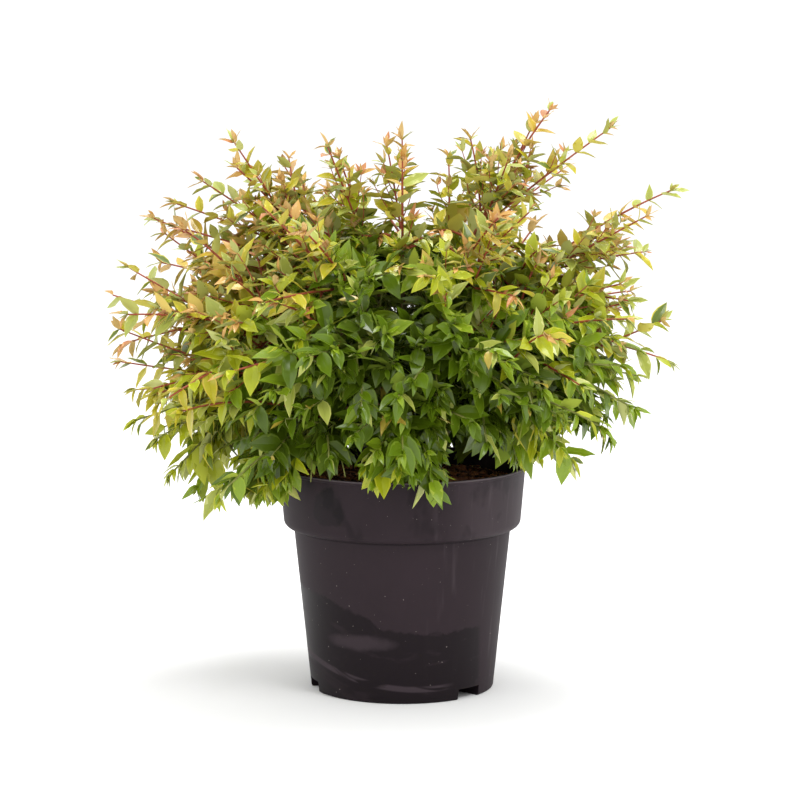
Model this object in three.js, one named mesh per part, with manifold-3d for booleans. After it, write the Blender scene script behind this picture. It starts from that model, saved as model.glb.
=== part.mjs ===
// A potted glossy abelia: a low shrub with many arching stems and opposite leaves, in a round growing pot.
// Millimetres, +Z up. The origin is the middle of the pot's flat underside, and the front faces -Y.

import * as THREE from "three";
import { mergeVertices } from "three/addons/utils/BufferGeometryUtils.js";
import Module from "manifold-3d";

const wasm = await Module();
wasm.setup();

// Driving dimensions

const CLEAR = 0.3; // gap between pieces that meet
const PAST = 1; // how far a cutter runs past what it cuts
const SEED_STEP = 7919; // each mass grows from its own multiple of this

const POT = {
  height: 207,
  wall: 2,
  floor: 2.5,
  lipRadius: 115,
  lipDepth: 3,
  lipEdge: 0.8,
  bandTopRadius: 113.4,
  bandFootRadius: 109.4,
  bandDepth: 57,
  bandCorner: 7,
  bodyTopRadius: 100,
  baseRadius: 84.5,
  baseCorner: 2,
  sides: 36,
  cornerSteps: 2,
};

// The three drainage channels pressed up into the pot's floor, open at its wall.
const CHANNEL = {
  count: 3,
  firstTurn: -44,
  width: 27,
  height: 10,
  innerRadius: 46,
  innerCorner: 9,
  cornerSteps: 3,
  drainRadius: 4.5,
  drainReach: 66,
  drainSides: 12,
};

const SOIL = { edgeLevel: 191, shoulderLevel: 194, shoulderRadius: 84, level: 195, padRadius: 26 };

const STEM = {
  height: 44,
  flareRadius: 15,
  neckRadius: 10,
  topRadius: 8,
  flareHeight: 14,
  lobes: 5,
  lobeDepth: 0.16,
  lean: 3,
  sides: 15,
  steps: 7,
};

// The crown is laid out round this point. Boughs stay nearer to it than hollow, and foliage stays
// further off.
const CROWN = {
  centre: new THREE.Vector3(0, 0, 300),
  hollow: 96,
  lowest: 190,
  innerMargin: 2,
  rimMargin: 6,
  cellMargin: 0.6,
  taper: 0.18,
  taperAngle: 20,
};

// Each tier goes round the crown from the right-hand side, counterclockwise from above.
// rise is a mass's direction from the crown's centre, in degrees above the level. reach is how far its
// shoot goes.
const TIERS = {
  skirt: {
    firstTurn: 0,
    rise: [-3, -12, -14, -12, -7, -23, -19, -8],
    reach: [235, 236, 226, 240, 247, 264, 196, 263],
  },
  middle: {
    firstTurn: 22.5,
    rise: [14, 12, 14, 19, 12, 8, 9, 13],
    reach: [260, 250, 244, 280, 288, 232, 228, 241],
  },
  upper: {
    firstTurn: 0,
    rise: [33, 46, 39, 50, 38, 41],
    reach: [311, 244, 262, 254, 236, 240],
  },
  top: {
    firstTurn: 0,
    rise: [60, 75, 73, 76],
    reach: [287, 229, 216, 214],
  },
};

// Each bough leaves what carries it at a share of that one's length. rise is its first direction above
// the level.
const BOUGHS = {
  middle: { baseRadius: 3.6, tipRadius: 2, starts: [0.74, 0.44], rise: 52 },
  skirt: { baseRadius: 2.5, tipRadius: 1.7, starts: [0.36] },
  upper: { baseRadius: 2.5, tipRadius: 1.7, starts: [0.58] },
  top: { baseRadius: 2.8, tipRadius: 1.7, starts: [0.93], rise: 70 },
  rootRing: 5,
  follow: 0.6,
  startPull: 0.4,
  endPull: 0.3,
  sides: 5,
  steps: 5,
};

// The rule by which a mass of foliage grows. Twigs and leaves stand in opposite pairs, each pair a
// quarter turn on.
const GROWTH = {
  shootBow: 0.1,
  shootBase: 2,
  shootTip: 1.1,
  shootSteps: 4,
  shootInternode: 16,
  twigsFrom: 0.04,
  twigsTo: 0.7,
  twigSpacing: 20,
  twigLength: 115,
  twigTaper: 0.4,
  twigSizeSpread: 0.3,
  twigSpread: 54,
  twigLift: 0.16,
  twigBase: 1.4,
  twigTip: 1,
  twigReach: 0.94,
  twigInternode: 14.5,
  twigBare: 0.2,
  shortestTwig: 24,
  shrink: 0.85,
};

const LEAF = {
  length: 66,
  widthShare: 0.56,
  widest: 0.42,
  fold: 0.07,
  thickness: 1,
  spread: 58,
  droop: 0.34,
  faceUp: 1.4,
  faceOut: 0.8,
  sunkShare: 0.45,
  tipSunk: 2,
  tipShrink: 0.3,
  sizeSpread: 0.36,
  shortest: 30,
};

const COLOURS = {
  pot: 0x3a3336,
  soil: 0x3b2419,
  bark: 0x6b4a33,
  skirt: 0x5f8a2a,
  middle: 0x7d9e33,
  upper: 0xa2a83a,
  top: 0xb8973f,
};

// Solids

const UP = new THREE.Vector3(0, 0, 1);
const radians = THREE.MathUtils.degToRad;

function solid(geometry) {
  geometry.deleteAttribute("normal");
  geometry.deleteAttribute("uv");
  const merged = mergeVertices(geometry, 1e-4);
  return new wasm.Manifold(
    new wasm.Mesh({
      numProp: 3,
      vertProperties: merged.attributes.position.array,
      triVerts: new Uint32Array(merged.index.array),
    }),
  );
}

function meshOf(name, body, material) {
  const { vertProperties, triVerts } = body.getMesh();
  const geometry = new THREE.BufferGeometry();
  geometry.setAttribute("position", new THREE.BufferAttribute(vertProperties, 3));
  geometry.setIndex(new THREE.BufferAttribute(triVerts, 1));
  geometry.computeVertexNormals();
  const mesh = new THREE.Mesh(geometry, material);
  mesh.name = name;
  return mesh;
}

// The outer body alone: sealed hollows are filled and loose scraps dropped.
function wholeBody(body) {
  const bodies = body.decompose();
  return bodies.reduce((a, b) => (a.volume() > b.volume() ? a : b));
}

// A solid of revolution round Z, from radius and height points that start and end on the axis.
function turned(points, sides) {
  const geometry = new THREE.LatheGeometry(points, sides);
  geometry.rotateX(Math.PI / 2);
  return solid(geometry);
}

// A numbered generator, so that each mass grows the same way every time.
function seeded(seed) {
  let state = seed;
  return () => {
    state = (state * 1664525 + 1013904223) % 4294967296;
    return state / 4294967296;
  };
}

// Pot and soil

// The pot's wall line from its floor to its mouth, moved inwards by inset.
function wallLine(inset, floor) {
  const step = POT.height - POT.bandDepth + inset;
  const corner = POT.bandFootRadius - POT.bandCorner - inset;
  const line = [
    new THREE.Vector2(POT.baseRadius - inset - POT.baseCorner, floor),
    new THREE.Vector2(POT.baseRadius - inset, floor + POT.baseCorner),
    new THREE.Vector2(POT.bodyTopRadius - inset, step),
  ];
  for (let i = 0; i <= POT.cornerSteps; i += 1) {
    const turn = (Math.PI / 2) * (i / POT.cornerSteps);
    line.push(
      new THREE.Vector2(
        corner + POT.bandCorner * Math.sin(turn),
        step + POT.bandCorner * (1 - Math.cos(turn)),
      ),
    );
  }
  return line;
}

// A plug that fills one drainage channel, grown by margin on every side.
function channelPlug(index, margin) {
  const half = CHANNEL.width / 2 + margin;
  const inner = CHANNEL.innerRadius - margin;
  const corner = CHANNEL.innerCorner;
  const plan = new THREE.Shape();
  plan.moveTo(POT.lipRadius, -half);
  plan.lineTo(POT.lipRadius, half);
  plan.lineTo(inner + corner, half);
  plan.quadraticCurveTo(inner, half, inner, half - corner);
  plan.lineTo(inner, corner - half);
  plan.quadraticCurveTo(inner, -half, inner + corner, -half);
  plan.closePath();
  const geometry = new THREE.ExtrudeGeometry(plan, {
    depth: PAST + CHANNEL.height + margin,
    bevelEnabled: false,
    curveSegments: CHANNEL.cornerSteps,
  });
  geometry.translate(0, 0, -PAST);
  geometry.rotateZ(radians(channelTurn(index)));
  return solid(geometry);
}

function channelTurn(index) {
  return CHANNEL.firstTurn + (360 / CHANNEL.count) * index;
}

function channelPlugs(margin) {
  return Array.from({ length: CHANNEL.count }, (_, i) => channelPlug(i, margin));
}

function drain(index) {
  const geometry = new THREE.CylinderGeometry(
    CHANNEL.drainRadius,
    CHANNEL.drainRadius,
    POT.wall + 2 * PAST,
    CHANNEL.drainSides,
  );
  geometry.rotateX(Math.PI / 2);
  geometry.translate(CHANNEL.drainReach, 0, CHANNEL.height + POT.wall / 2);
  geometry.rotateZ(radians(channelTurn(index)));
  return solid(geometry);
}

function potBody() {
  const outside = [
    new THREE.Vector2(0, 0),
    ...wallLine(0, 0),
    new THREE.Vector2(POT.bandTopRadius, POT.height - POT.lipDepth),
    new THREE.Vector2(POT.lipRadius, POT.height - POT.lipDepth + POT.lipEdge),
    new THREE.Vector2(POT.lipRadius, POT.height - POT.lipEdge),
    new THREE.Vector2(POT.lipRadius - POT.lipEdge, POT.height),
    new THREE.Vector2(0, POT.height),
  ];
  const mouth = POT.height + PAST;
  const inside = [
    new THREE.Vector2(0, POT.floor),
    ...wallLine(POT.wall, POT.floor),
    new THREE.Vector2(POT.bandTopRadius - POT.wall, mouth),
    new THREE.Vector2(0, mouth),
  ];
  let cavity = turned(inside, POT.sides);
  for (const plug of channelPlugs(POT.wall)) cavity = cavity.subtract(plug);
  let body = turned(outside, POT.sides).subtract(cavity);
  for (const plug of channelPlugs(0)) body = body.subtract(plug);
  for (let i = 0; i < CHANNEL.count; i += 1) body = body.subtract(drain(i));
  return wholeBody(body);
}

function soilBody() {
  const inset = POT.wall + CLEAR;
  const floor = POT.floor + CLEAR;
  const edge = POT.bandFootRadius - inset;
  const outline = [
    new THREE.Vector2(0, floor),
    ...wallLine(inset, floor),
    new THREE.Vector2(edge, SOIL.edgeLevel),
    new THREE.Vector2(SOIL.shoulderRadius, SOIL.shoulderLevel),
    new THREE.Vector2(SOIL.padRadius, SOIL.level),
    new THREE.Vector2(0, SOIL.level),
  ];
  let body = turned(outline, POT.sides);
  for (const plug of channelPlugs(inset)) body = body.subtract(plug);
  return wholeBody(body);
}

// Stem and boughs

// A round bar along a curve. radiusAt gives its radius from the share of the way along and the turn
// round it.
function bar(curve, radiusAt, sides, steps) {
  const geometry = new THREE.CylinderGeometry(1, 1, 1, sides, steps);
  const frames = curve.computeFrenetFrames(steps, false);
  const points = curve.getSpacedPoints(steps);
  const place = geometry.attributes.position;
  const moved = new THREE.Vector3();
  for (let i = 0; i < place.count; i += 1) {
    const step = Math.round((place.getY(i) + 0.5) * steps);
    const turn = Math.atan2(place.getZ(i), place.getX(i));
    const radius = radiusAt(step / steps, turn);
    moved
      .copy(points[step])
      .addScaledVector(frames.normals[step], place.getX(i) * radius)
      .addScaledVector(frames.binormals[step], -place.getZ(i) * radius);
    place.setXYZ(i, moved.x, moved.y, moved.z);
  }
  return solid(geometry);
}

function stemCurve() {
  const foot = SOIL.level + CLEAR;
  return new THREE.QuadraticBezierCurve3(
    new THREE.Vector3(0, 0, foot),
    new THREE.Vector3(0, 0, foot + STEM.height / 2),
    new THREE.Vector3(STEM.lean, -STEM.lean, foot + STEM.height),
  );
}

function stemBody(margin) {
  const radiusAt = (along, turn) => {
    const flare = Math.max(0, 1 - (along * STEM.height) / STEM.flareHeight) ** 2;
    const lobe = 1 + STEM.lobeDepth * flare * Math.cos(STEM.lobes * turn);
    const plain = THREE.MathUtils.lerp(STEM.neckRadius, STEM.topRadius, along);
    return (plain + (STEM.flareRadius - STEM.neckRadius) * flare) * lobe + margin;
  };
  return bar(stemCurve(), radiusAt, STEM.sides, STEM.steps);
}

function direction(turn, rise) {
  const level = Math.cos(radians(rise));
  return new THREE.Vector3(
    level * Math.cos(radians(turn)),
    level * Math.sin(radians(turn)),
    Math.sin(radians(rise)),
  );
}

// The curve of a bough, from a point on what carries it to the edge of the crown's hollow in the
// mass's direction.
function boughCurve(start, away, towards) {
  const end = CROWN.centre.clone().addScaledVector(towards, CROWN.hollow);
  const span = start.distanceTo(end);
  return new THREE.CubicBezierCurve3(
    start,
    start.clone().addScaledVector(away, span * BOUGHS.startPull),
    end.clone().addScaledVector(towards, -span * BOUGHS.endPull),
    end,
  );
}

function boughBody(curve, size, margin) {
  const radiusAt = (along) =>
    THREE.MathUtils.lerp(size.baseRadius, size.tipRadius, along) + margin;
  return bar(curve, radiusAt, BOUGHS.sides, BOUGHS.steps);
}

// Every mass with its direction, and the bough that leads to it
function layOut() {
  const masses = [];
  for (const [tier, { firstTurn, rise, reach }] of Object.entries(TIERS)) {
    rise.forEach((degrees, i) => {
      const turn = firstTurn + (360 / rise.length) * i;
      masses.push({
        tier,
        number: i + 1,
        turn,
        reach: reach[i],
        towards: direction(turn, degrees),
      });
    });
  }
  return masses;
}

// Boughs of the middle and top tiers rise from the stem, and the others fork from the middle ones.
function carryMasses(masses) {
  const stem = stemCurve();
  const inTier = (tier) => masses.filter((mass) => mass.tier === tier);
  for (const mass of [...inTier("middle"), ...inTier("top")]) {
    const { starts, rise } = BOUGHS[mass.tier];
    const start = stem.getPointAt(starts[mass.number % starts.length]);
    start.addScaledVector(direction(mass.turn, 0), BOUGHS.rootRing);
    mass.curve = boughCurve(start, direction(mass.turn, rise), mass.towards);
    mass.carrier = null;
  }

  const apart = (mass, other) => Math.abs(((other.turn - mass.turn + 540) % 360) - 180);
  for (const mass of [...inTier("skirt"), ...inTier("upper")]) {
    mass.carrier =
      mass.tier === "skirt"
        ? inTier("middle")[mass.number - 1]
        : inTier("middle").reduce((a, b) => (apart(mass, b) < apart(mass, a) ? b : a));
    const [fork] = BOUGHS[mass.tier].starts;
    const start = mass.carrier.curve.getPointAt(fork);
    const away = mass.carrier.curve.getTangentAt(fork).multiplyScalar(BOUGHS.follow);
    away.add(mass.towards).normalize();
    mass.curve = boughCurve(start, away, mass.towards);
  }
}

// Foliage

// The space of a mass: its own cone of the crown, outside the hollow, clear of the pot and above the
// lowest level.
// It reaches furthest along the mass's own direction.
function inSpace(point, mass, masses, reach) {
  const out = point.clone().sub(CROWN.centre);
  const far = out.length();
  const aside = Math.min(1, out.angleTo(mass.towards) / radians(CROWN.taperAngle));
  if (far < CROWN.hollow + CROWN.innerMargin) return false;
  if (far > reach * (1 - CROWN.taper * aside)) return false;
  const overPot = Math.hypot(point.x, point.y) < POT.lipRadius + CROWN.rimMargin;
  if (point.z < (overPot ? POT.height + CROWN.rimMargin : CROWN.lowest)) return false;
  return masses.every(
    (other) =>
      other === mass ||
      out.dot(mass.towards) - out.dot(other.towards) > 2 * CROWN.cellMargin,
  );
}

// A leaf of six faces, folded along its midrib: a keel runs from its root to its tip, and its margins
// stand higher.
function leafBody(corners) {
  const geometry = new THREE.SphereGeometry(1, 3, 2);
  const place = geometry.attributes.position;
  for (let i = 0; i < place.count; i += 1) {
    const corner = corners[cornerName(place.getX(i), place.getY(i), place.getZ(i))];
    place.setXYZ(i, corner.x, corner.y, corner.z);
  }
  return solid(geometry);
}

// Which corner of a leaf each corner of the plain six-faced sphere becomes.
function cornerName(x, y, z) {
  if (Math.abs(y) > 0.5) return y > 0 ? "left" : "right";
  if (x < -0.5) return "midrib";
  return z > 0 ? "tip" : "root";
}

function leafCorners(root, along, face, length, sunk) {
  const across = face.clone().cross(along).normalize();
  const lift = along.clone().cross(across);
  const at = (forward, sideways, rise) =>
    root
      .clone()
      .addScaledVector(along, forward)
      .addScaledVector(across, sideways)
      .addScaledVector(lift, rise);
  const middle = length * LEAF.widest;
  const half = (length * LEAF.widthShare) / 2;
  return {
    root: at(-sunk, 0, 0),
    tip: at(length, 0, 0),
    midrib: at(middle, 0, LEAF.thickness),
    left: at(middle, half, length * LEAF.fold),
    right: at(middle, -half, length * LEAF.fold),
  };
}

// The sideways direction at a turn round a curve's tangent
function sideways(tangent, turn) {
  const level = UP.clone().cross(tangent);
  if (level.length() < 0.1) level.set(1, 0, 0);
  level.normalize();
  const rise = tangent.clone().cross(level).normalize();
  return level
    .multiplyScalar(Math.cos(turn))
    .addScaledVector(rise, Math.sin(turn));
}

function leaning(tangent, side, spread) {
  return tangent
    .clone()
    .multiplyScalar(Math.cos(radians(spread)))
    .addScaledVector(side, Math.sin(radians(spread)))
    .normalize();
}

// A mass of foliage while it grows. It keeps to its space, and its pieces touch only what carries them.
class Growth {
  constructor(mass, masses, seed) {
    this.mass = mass;
    this.masses = masses;
    this.next = seeded(seed);
    this.pieces = [];
  }

  fits(points, reach) {
    return points.every((point) => inSpace(point, this.mass, this.masses, reach));
  }

  isClear(body, carrier) {
    return [this.mass.limb, ...this.pieces].every(
      (other) => other === carrier || other.intersect(body).isEmpty(),
    );
  }

  // One leaf as long as there is room for, its root sunk into the carrier, or nothing.
  leaf(carrier, root, along, face, longest, sunk, reach) {
    for (let length = longest; length >= LEAF.shortest; length *= GROWTH.shrink) {
      const corners = leafCorners(root, along, face, length, sunk);
      const { root: foot, ...blade } = corners;
      if (!this.fits(Object.values(blade), reach)) continue;
      const body = leafBody(corners);
      if (this.isClear(body, carrier)) return [body];
    }
    return [];
  }

  leafPair(twig, share, turn, length, reach) {
    const root = twig.curve.getPointAt(share);
    const tangent = twig.curve.getTangentAt(share);
    const sunk = twig.radiusAt(share) * LEAF.sunkShare;
    const pair = [turn, turn + Math.PI].flatMap((sideTurn) => {
      const along = leaning(tangent, sideways(tangent, sideTurn), LEAF.spread);
      along.addScaledVector(UP, -LEAF.droop * this.next()).normalize();
      const face = UP.clone().multiplyScalar(LEAF.faceUp);
      face.addScaledVector(this.mass.towards, LEAF.faceOut);
      face.addScaledVector(along, -face.dot(along)).normalize();
      const size = length * (1 + LEAF.sizeSpread * (this.next() - 0.5));
      return this.leaf(twig.body, root, along, face, size, sunk, reach);
    });
    this.pieces.push(...pair);
  }

  leafUp(twig, internode, from, turn, reach) {
    const pairs = Math.max(1, Math.round((twig.length * (1 - from)) / internode));
    for (let i = 0; i < pairs; i += 1) {
      const share = from + ((1 - from) * (i + 0.5)) / pairs;
      const size = LEAF.length * (1 - (LEAF.tipShrink * (i + 1)) / pairs);
      this.leafPair(twig, share, turn + ((i + 1) * Math.PI) / 2, size, reach);
    }
    const along = twig.curve.getTangentAt(1);
    const tip = twig.curve.getPointAt(1).addScaledVector(along, -LEAF.tipSunk);
    const face = sideways(along, Math.PI / 2 + this.next());
    const size = LEAF.length * (1 - LEAF.tipShrink);
    this.pieces.push(...this.leaf(twig.body, tip, along, face, size, 0, reach + size));
  }

  stem(curve, baseRadius, tipRadius, steps) {
    const radiusAt = (share) => THREE.MathUtils.lerp(baseRadius, tipRadius, share);
    const body = bar(curve, radiusAt, 3, steps);
    return { curve, radiusAt, body, length: curve.getLength() };
  }

  // A side twig as long as its space allows, with its leaves
  sideTwig(shoot, share, turn, size) {
    const root = shoot.curve.getPointAt(share);
    const tangent = shoot.curve.getTangentAt(share);
    const along = leaning(tangent, sideways(tangent, turn), GROWTH.twigSpread);
    along.addScaledVector(UP, GROWTH.twigLift).normalize();
    const reach = this.mass.reach * GROWTH.twigReach;
    for (let length = size; length >= GROWTH.shortestTwig; length *= GROWTH.shrink) {
      const end = root.clone().addScaledVector(along, length);
      if (!this.fits([end], reach)) continue;
      const curve = new THREE.LineCurve3(root, end);
      const twig = this.stem(curve, GROWTH.twigBase, GROWTH.twigTip, 1);
      if (!this.isClear(twig.body, shoot.body)) continue;
      this.pieces.push(twig.body);
      this.leafUp(twig, GROWTH.twigInternode, GROWTH.twigBare, turn, reach);
      return;
    }
  }

  // The main shoot, its side twigs in opposite pairs, and the leaves of its own end
  grow() {
    const { towards, reach } = this.mass;
    const start = CROWN.centre.clone().addScaledVector(towards, CROWN.hollow + CLEAR);
    const tipLeaf = LEAF.length * (1 - LEAF.tipShrink);
    const end = CROWN.centre.clone().addScaledVector(towards, reach - tipLeaf);
    const middle = start.clone().lerp(end, 0.5);
    middle.addScaledVector(UP, start.distanceTo(end) * GROWTH.shootBow);
    const curve = new THREE.QuadraticBezierCurve3(start, middle, end);
    const shoot = this.stem(curve, GROWTH.shootBase, GROWTH.shootTip, GROWTH.shootSteps);
    this.pieces.push(shoot.body);

    const span = GROWTH.twigsTo - GROWTH.twigsFrom;
    const nodes = Math.max(1, Math.round((shoot.length * span) / GROWTH.twigSpacing));
    for (let i = 0; i < nodes; i += 1) {
      const share = GROWTH.twigsFrom + (span * i) / nodes;
      const vary = 1 + GROWTH.twigSizeSpread * (this.next() - 0.5);
      const size = GROWTH.twigLength * (1 - GROWTH.twigTaper * share) * vary;
      const turn = (i * Math.PI) / 2 + this.next();
      this.sideTwig(shoot, share, turn, size);
      this.sideTwig(shoot, share, turn + Math.PI, size);
    }
    this.leafUp(shoot, GROWTH.shootInternode, GROWTH.twigsTo, this.next(), reach);
    return wholeBody(wasm.Manifold.union(this.pieces));
  }
}

// Assembly

function coloured(colour, roughness) {
  return new THREE.MeshStandardMaterial({ color: colour, roughness, metalness: 0 });
}

const bark = coloured(COLOURS.bark, 0.85);
const plant = new THREE.Group();
plant.add(meshOf("pot", potBody(), coloured(COLOURS.pot, 0.5)));
plant.add(meshOf("soil", soilBody(), coloured(COLOURS.soil, 0.95)));
plant.add(meshOf("stem", stemBody(0), bark));

const masses = layOut();
carryMasses(masses);
const stemRoom = stemBody(CLEAR);

masses.forEach((mass, index) => {
  const size = BOUGHS[mass.tier];
  const carrier = mass.carrier
    ? boughBody(mass.carrier.curve, BOUGHS.middle, CLEAR)
    : stemRoom;
  const bough = wholeBody(boughBody(mass.curve, size, 0).subtract(carrier));
  mass.limb = boughBody(mass.curve, size, CLEAR);
  plant.add(meshOf(`bough_${mass.tier}_${mass.number}`, bough, bark));
  const foliage = coloured(COLOURS[mass.tier], 0.45);
  const body = new Growth(mass, masses, SEED_STEP * (index + 1)).grow();
  plant.add(meshOf(`foliage_${mass.tier}_${mass.number}`, body, foliage));
});

export default plant;
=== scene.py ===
"""The looks of a potted glossy abelia: a moulded pot, peat, bark, and a crown of arching leafy shoots."""

import math
import random
from types import SimpleNamespace

import bpy
import numpy as np
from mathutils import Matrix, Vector, noise


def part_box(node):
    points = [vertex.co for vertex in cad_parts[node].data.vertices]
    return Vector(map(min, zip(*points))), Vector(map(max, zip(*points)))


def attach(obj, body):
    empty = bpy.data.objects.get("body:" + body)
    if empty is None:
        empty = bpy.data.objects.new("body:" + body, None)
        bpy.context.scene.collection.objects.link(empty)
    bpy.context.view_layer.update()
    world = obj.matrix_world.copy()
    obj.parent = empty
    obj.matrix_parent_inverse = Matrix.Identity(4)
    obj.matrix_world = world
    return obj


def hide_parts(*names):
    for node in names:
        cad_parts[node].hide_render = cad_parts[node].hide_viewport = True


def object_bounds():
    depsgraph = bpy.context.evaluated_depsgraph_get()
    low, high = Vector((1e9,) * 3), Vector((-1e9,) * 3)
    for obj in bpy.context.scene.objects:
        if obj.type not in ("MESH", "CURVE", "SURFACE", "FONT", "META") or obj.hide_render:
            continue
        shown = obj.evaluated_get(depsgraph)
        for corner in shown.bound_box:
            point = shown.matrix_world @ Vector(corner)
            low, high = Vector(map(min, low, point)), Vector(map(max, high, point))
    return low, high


bl_info = {
    "name": "Potted glossy abelia",
    "version": (1, 0, 0),
    "blender": (4, 5, 0),
    "location": "3D View > Sidebar > Abelia",
    "description": "Dresses a pot of glossy abelia and sets it in a plain studio",
    "category": "Object",
}

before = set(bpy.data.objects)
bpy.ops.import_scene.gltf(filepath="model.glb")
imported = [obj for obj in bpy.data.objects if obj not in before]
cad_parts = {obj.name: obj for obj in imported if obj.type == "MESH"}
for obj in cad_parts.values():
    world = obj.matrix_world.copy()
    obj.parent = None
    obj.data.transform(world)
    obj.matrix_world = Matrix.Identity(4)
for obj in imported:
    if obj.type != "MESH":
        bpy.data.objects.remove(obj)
CAD_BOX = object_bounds()
POT_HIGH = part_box("pot")[1]
SOIL_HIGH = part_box("soil")[1]
STEM_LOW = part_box("stem")[0]

MM = 0.001
UP = Vector((0, 0, 1))
QUARTER = math.pi / 2
PAIR = (0, math.pi)

# What a user wouldn't change, in millimetres and degrees

POT = SimpleNamespace(
    lip_depth=3.0,
    lip_under=0.3,
    lip_rise=0.5,
    lip_round=0.8,
    corner_share=0.3,
    mouth_above=1.0,
    mouth_bevel=((0, 1.2), (0.5, 0.4)),
    mouth_flare=1.2,
    band_top=113.4,
    band_foot=109.4,
    band_low=157.0,
    band_high=203.4,
    band_corner=7.0,
    band_steps=6,
    body_top=100.0,
    body_steps=10,
    body_stop=1.0,
    body_corner=0.6,
    base_corner=2.0,
    steps=180,
    round_steps=6,
    channels=3,
    first_turn=-44.0,
    channel_inner=46.0,
    channel_below=1.0,
    inner_corner=9.0,
    inner_steps=5,
    drain_reach=66.0,
    drain_depth=12.0,
    drain_sides=24,
    merge=0.02,
    smooth_to=32,
)
SOIL = SimpleNamespace(
    edge=191.0,
    depth=14.0,
    shoulder=1.0,
    foot_inset=0.9,
    rings=44,
    steps=150,
    dome_radius=107.0,
    lump_scale=0.06,
    lump_fractal=(0.9, 2.1, 5),
    grain_scale=0.32,
    grain=0.9,
    calm_stem=14.0,
    calm_wall=107.2,
    calm_width=5.0,
    smooth_to=60,
)
CHIPS = SimpleNamespace(
    seed=11,
    spread=106.0,
    farthest=104.5,
    inner=0.04,
    pale_inner=0.86,
    half_sizes=((1.2, 3.8), (0.7, 1.9), (0.3, 0.9)),
    pale_size=0.55,
    skew=0.3,
    tilt=0.7,
    raised=0.5,
)

# The crown, as the source lays it out, in millimetres and degrees

CROWN = SimpleNamespace(
    centre=Vector((0, 0, 300)),
    hollow=96.0,
    lowest=176.0,
    rim_reach=4.0,
    rim_margin=10.0,
    rim_margin_to=74.0,
    back_margin=2.0,
    opening=16.0,
    opening_from=-104.0,
    opening_to=-26.0,
    raised=46.0,
    raised_from=-150.0,
    raised_over=50.0,
    raised_right=0.6,
    past_box=14.0,
    overlap=34.0,
    taper=1.2,
    taper_angle=14.0,
    bulk=216.0,
    bulk_flat=0.16,
    bulk_drop=109.0,
    bulk_low=120.0,
    bulk_left=46.0,
)
TIERS = {
    "skirt": SimpleNamespace(
        first_turn=0.0,
        rise=(-3, -12, -14, -12, -7, -23, -19, -8),
        reach=(235, 236, 226, 240, 247, 264, 196, 263),
        lift=-0.12,
        wands=4,
    ),
    "middle": SimpleNamespace(
        first_turn=22.5,
        rise=(14, 12, 14, 19, 12, 8, 9, 13),
        reach=(260, 250, 244, 280, 288, 232, 228, 241),
        lift=0.1,
        wands=4,
    ),
    "upper": SimpleNamespace(
        first_turn=0.0,
        rise=(33, 46, 39, 50, 38, 41),
        reach=(311, 244, 262, 254, 236, 240),
        lift=0.22,
        wands=3,
    ),
    "top": SimpleNamespace(
        first_turn=0.0,
        rise=(60, 75, 73, 76),
        reach=(287, 229, 216, 214),
        lift=0.3,
        wands=3,
    ),
}
BOUGHS = {
    "middle": SimpleNamespace(base=3.6, tip=2.0, starts=(0.74, 0.44), rise=52),
    "skirt": SimpleNamespace(base=2.5, tip=1.7, starts=(0.36,)),
    "upper": SimpleNamespace(base=2.5, tip=1.7, starts=(0.58,)),
    "top": SimpleNamespace(base=2.8, tip=1.7, starts=(0.93,), rise=70),
}
BOUGH = SimpleNamespace(
    root_ring=5.0,
    follow=0.6,
    start_pull=0.4,
    end_pull=0.3,
    relief=0.12,
    sides=12,
    steps=26,
)
STEM = SimpleNamespace(
    foot=STEM_LOW.z / MM,
    height=44.0,
    flare=15.0,
    neck=10.0,
    top=8.0,
    flare_height=14.0,
    lobes=5,
    lobe_depth=0.16,
    lean=3.0,
    relief=0.1,
    sides=60,
    steps=50,
)
# How close the ridges of the bark lie round and along a limb, and how much the finer relief counts
BARK = SimpleNamespace(
    around=2.2,
    along=0.045,
    askew=0.03,
    finer=3.1,
    finer_share=0.5,
    grain=0.9,
    grain_share=0.3,
)

# The tips of long shoots that stand out of the crown between the masses' own shoots, in millimetres
LEADER_TIPS = (
    (188, -12, 516), (63, 36, 503), (-104, 24, 486), (-152, -6, 502), (-180, -20, 468), (-206, 8, 446),
    (-67, -34, 500), (-14, 44, 496), (95, -44, 490), (120, 24, 518), (218, -44, 438), (-110, 96, 474),
    (44, 124, 482), (-247, -24, 390), (-262, -30, 366), (-260, 16, 330), (-256, -20, 304),
    (-246, 14, 274), (-240, -44, 254), (-222, -36, 236), (-228, 44, 232), (-205, -54, 210),
    (-186, -30, 192), (-172, -74, 190), (-148, -64, 200), (-128, -96, 196), (236, -10, 340),
    (210, -50, 266), (186, -64, 242), (150, -92, 226), (-96, 66, 222), (-44, 124, 224), (36, 128, 222),
    (98, 72, 222), (-74, 98, 211), (-12, 134, 210), (64, 114, 211), (112, 40, 213), (-118, 26, 213),
    (-40, 118, 202), (38, 126, 202), (88, 92, 206), (108, -62, 224), (60, 96, 208), (-62, 104, 206),
    (-218, 26, 417), (222, 30, 400), (-122, -120, 452), (110, -130, 448), (20, -176, 396),
    (150, 110, 470), (-60, 150, 470), (30, -132, 204), (-24, -134, 214), (50, 104, 218),
    (-92, 70, 214), (-50, 100, 214),
)
LEADER = SimpleNamespace(
    seed=501,
    root=0.5,
    bow=8.0,
    past_tip=12.0,
    hang=60.0,
    base=1.2,
    tip=0.7,
    tone=0.84,
    low=230.0,
    low_tone=0.4,
    low_size=1.25,
    low_internode=1.2,
    leaves_from=0.15,
    leaf_size=0.95,
    sprigs=3,
    sprigs_from=0.16,
    sprig_step=0.15,
    sprig_lean=46.0,
    sprig_lengths=(34.0, 14.0),
    sprig_internode=15.0,
    sprig_leaf_size=0.8,
)

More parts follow.
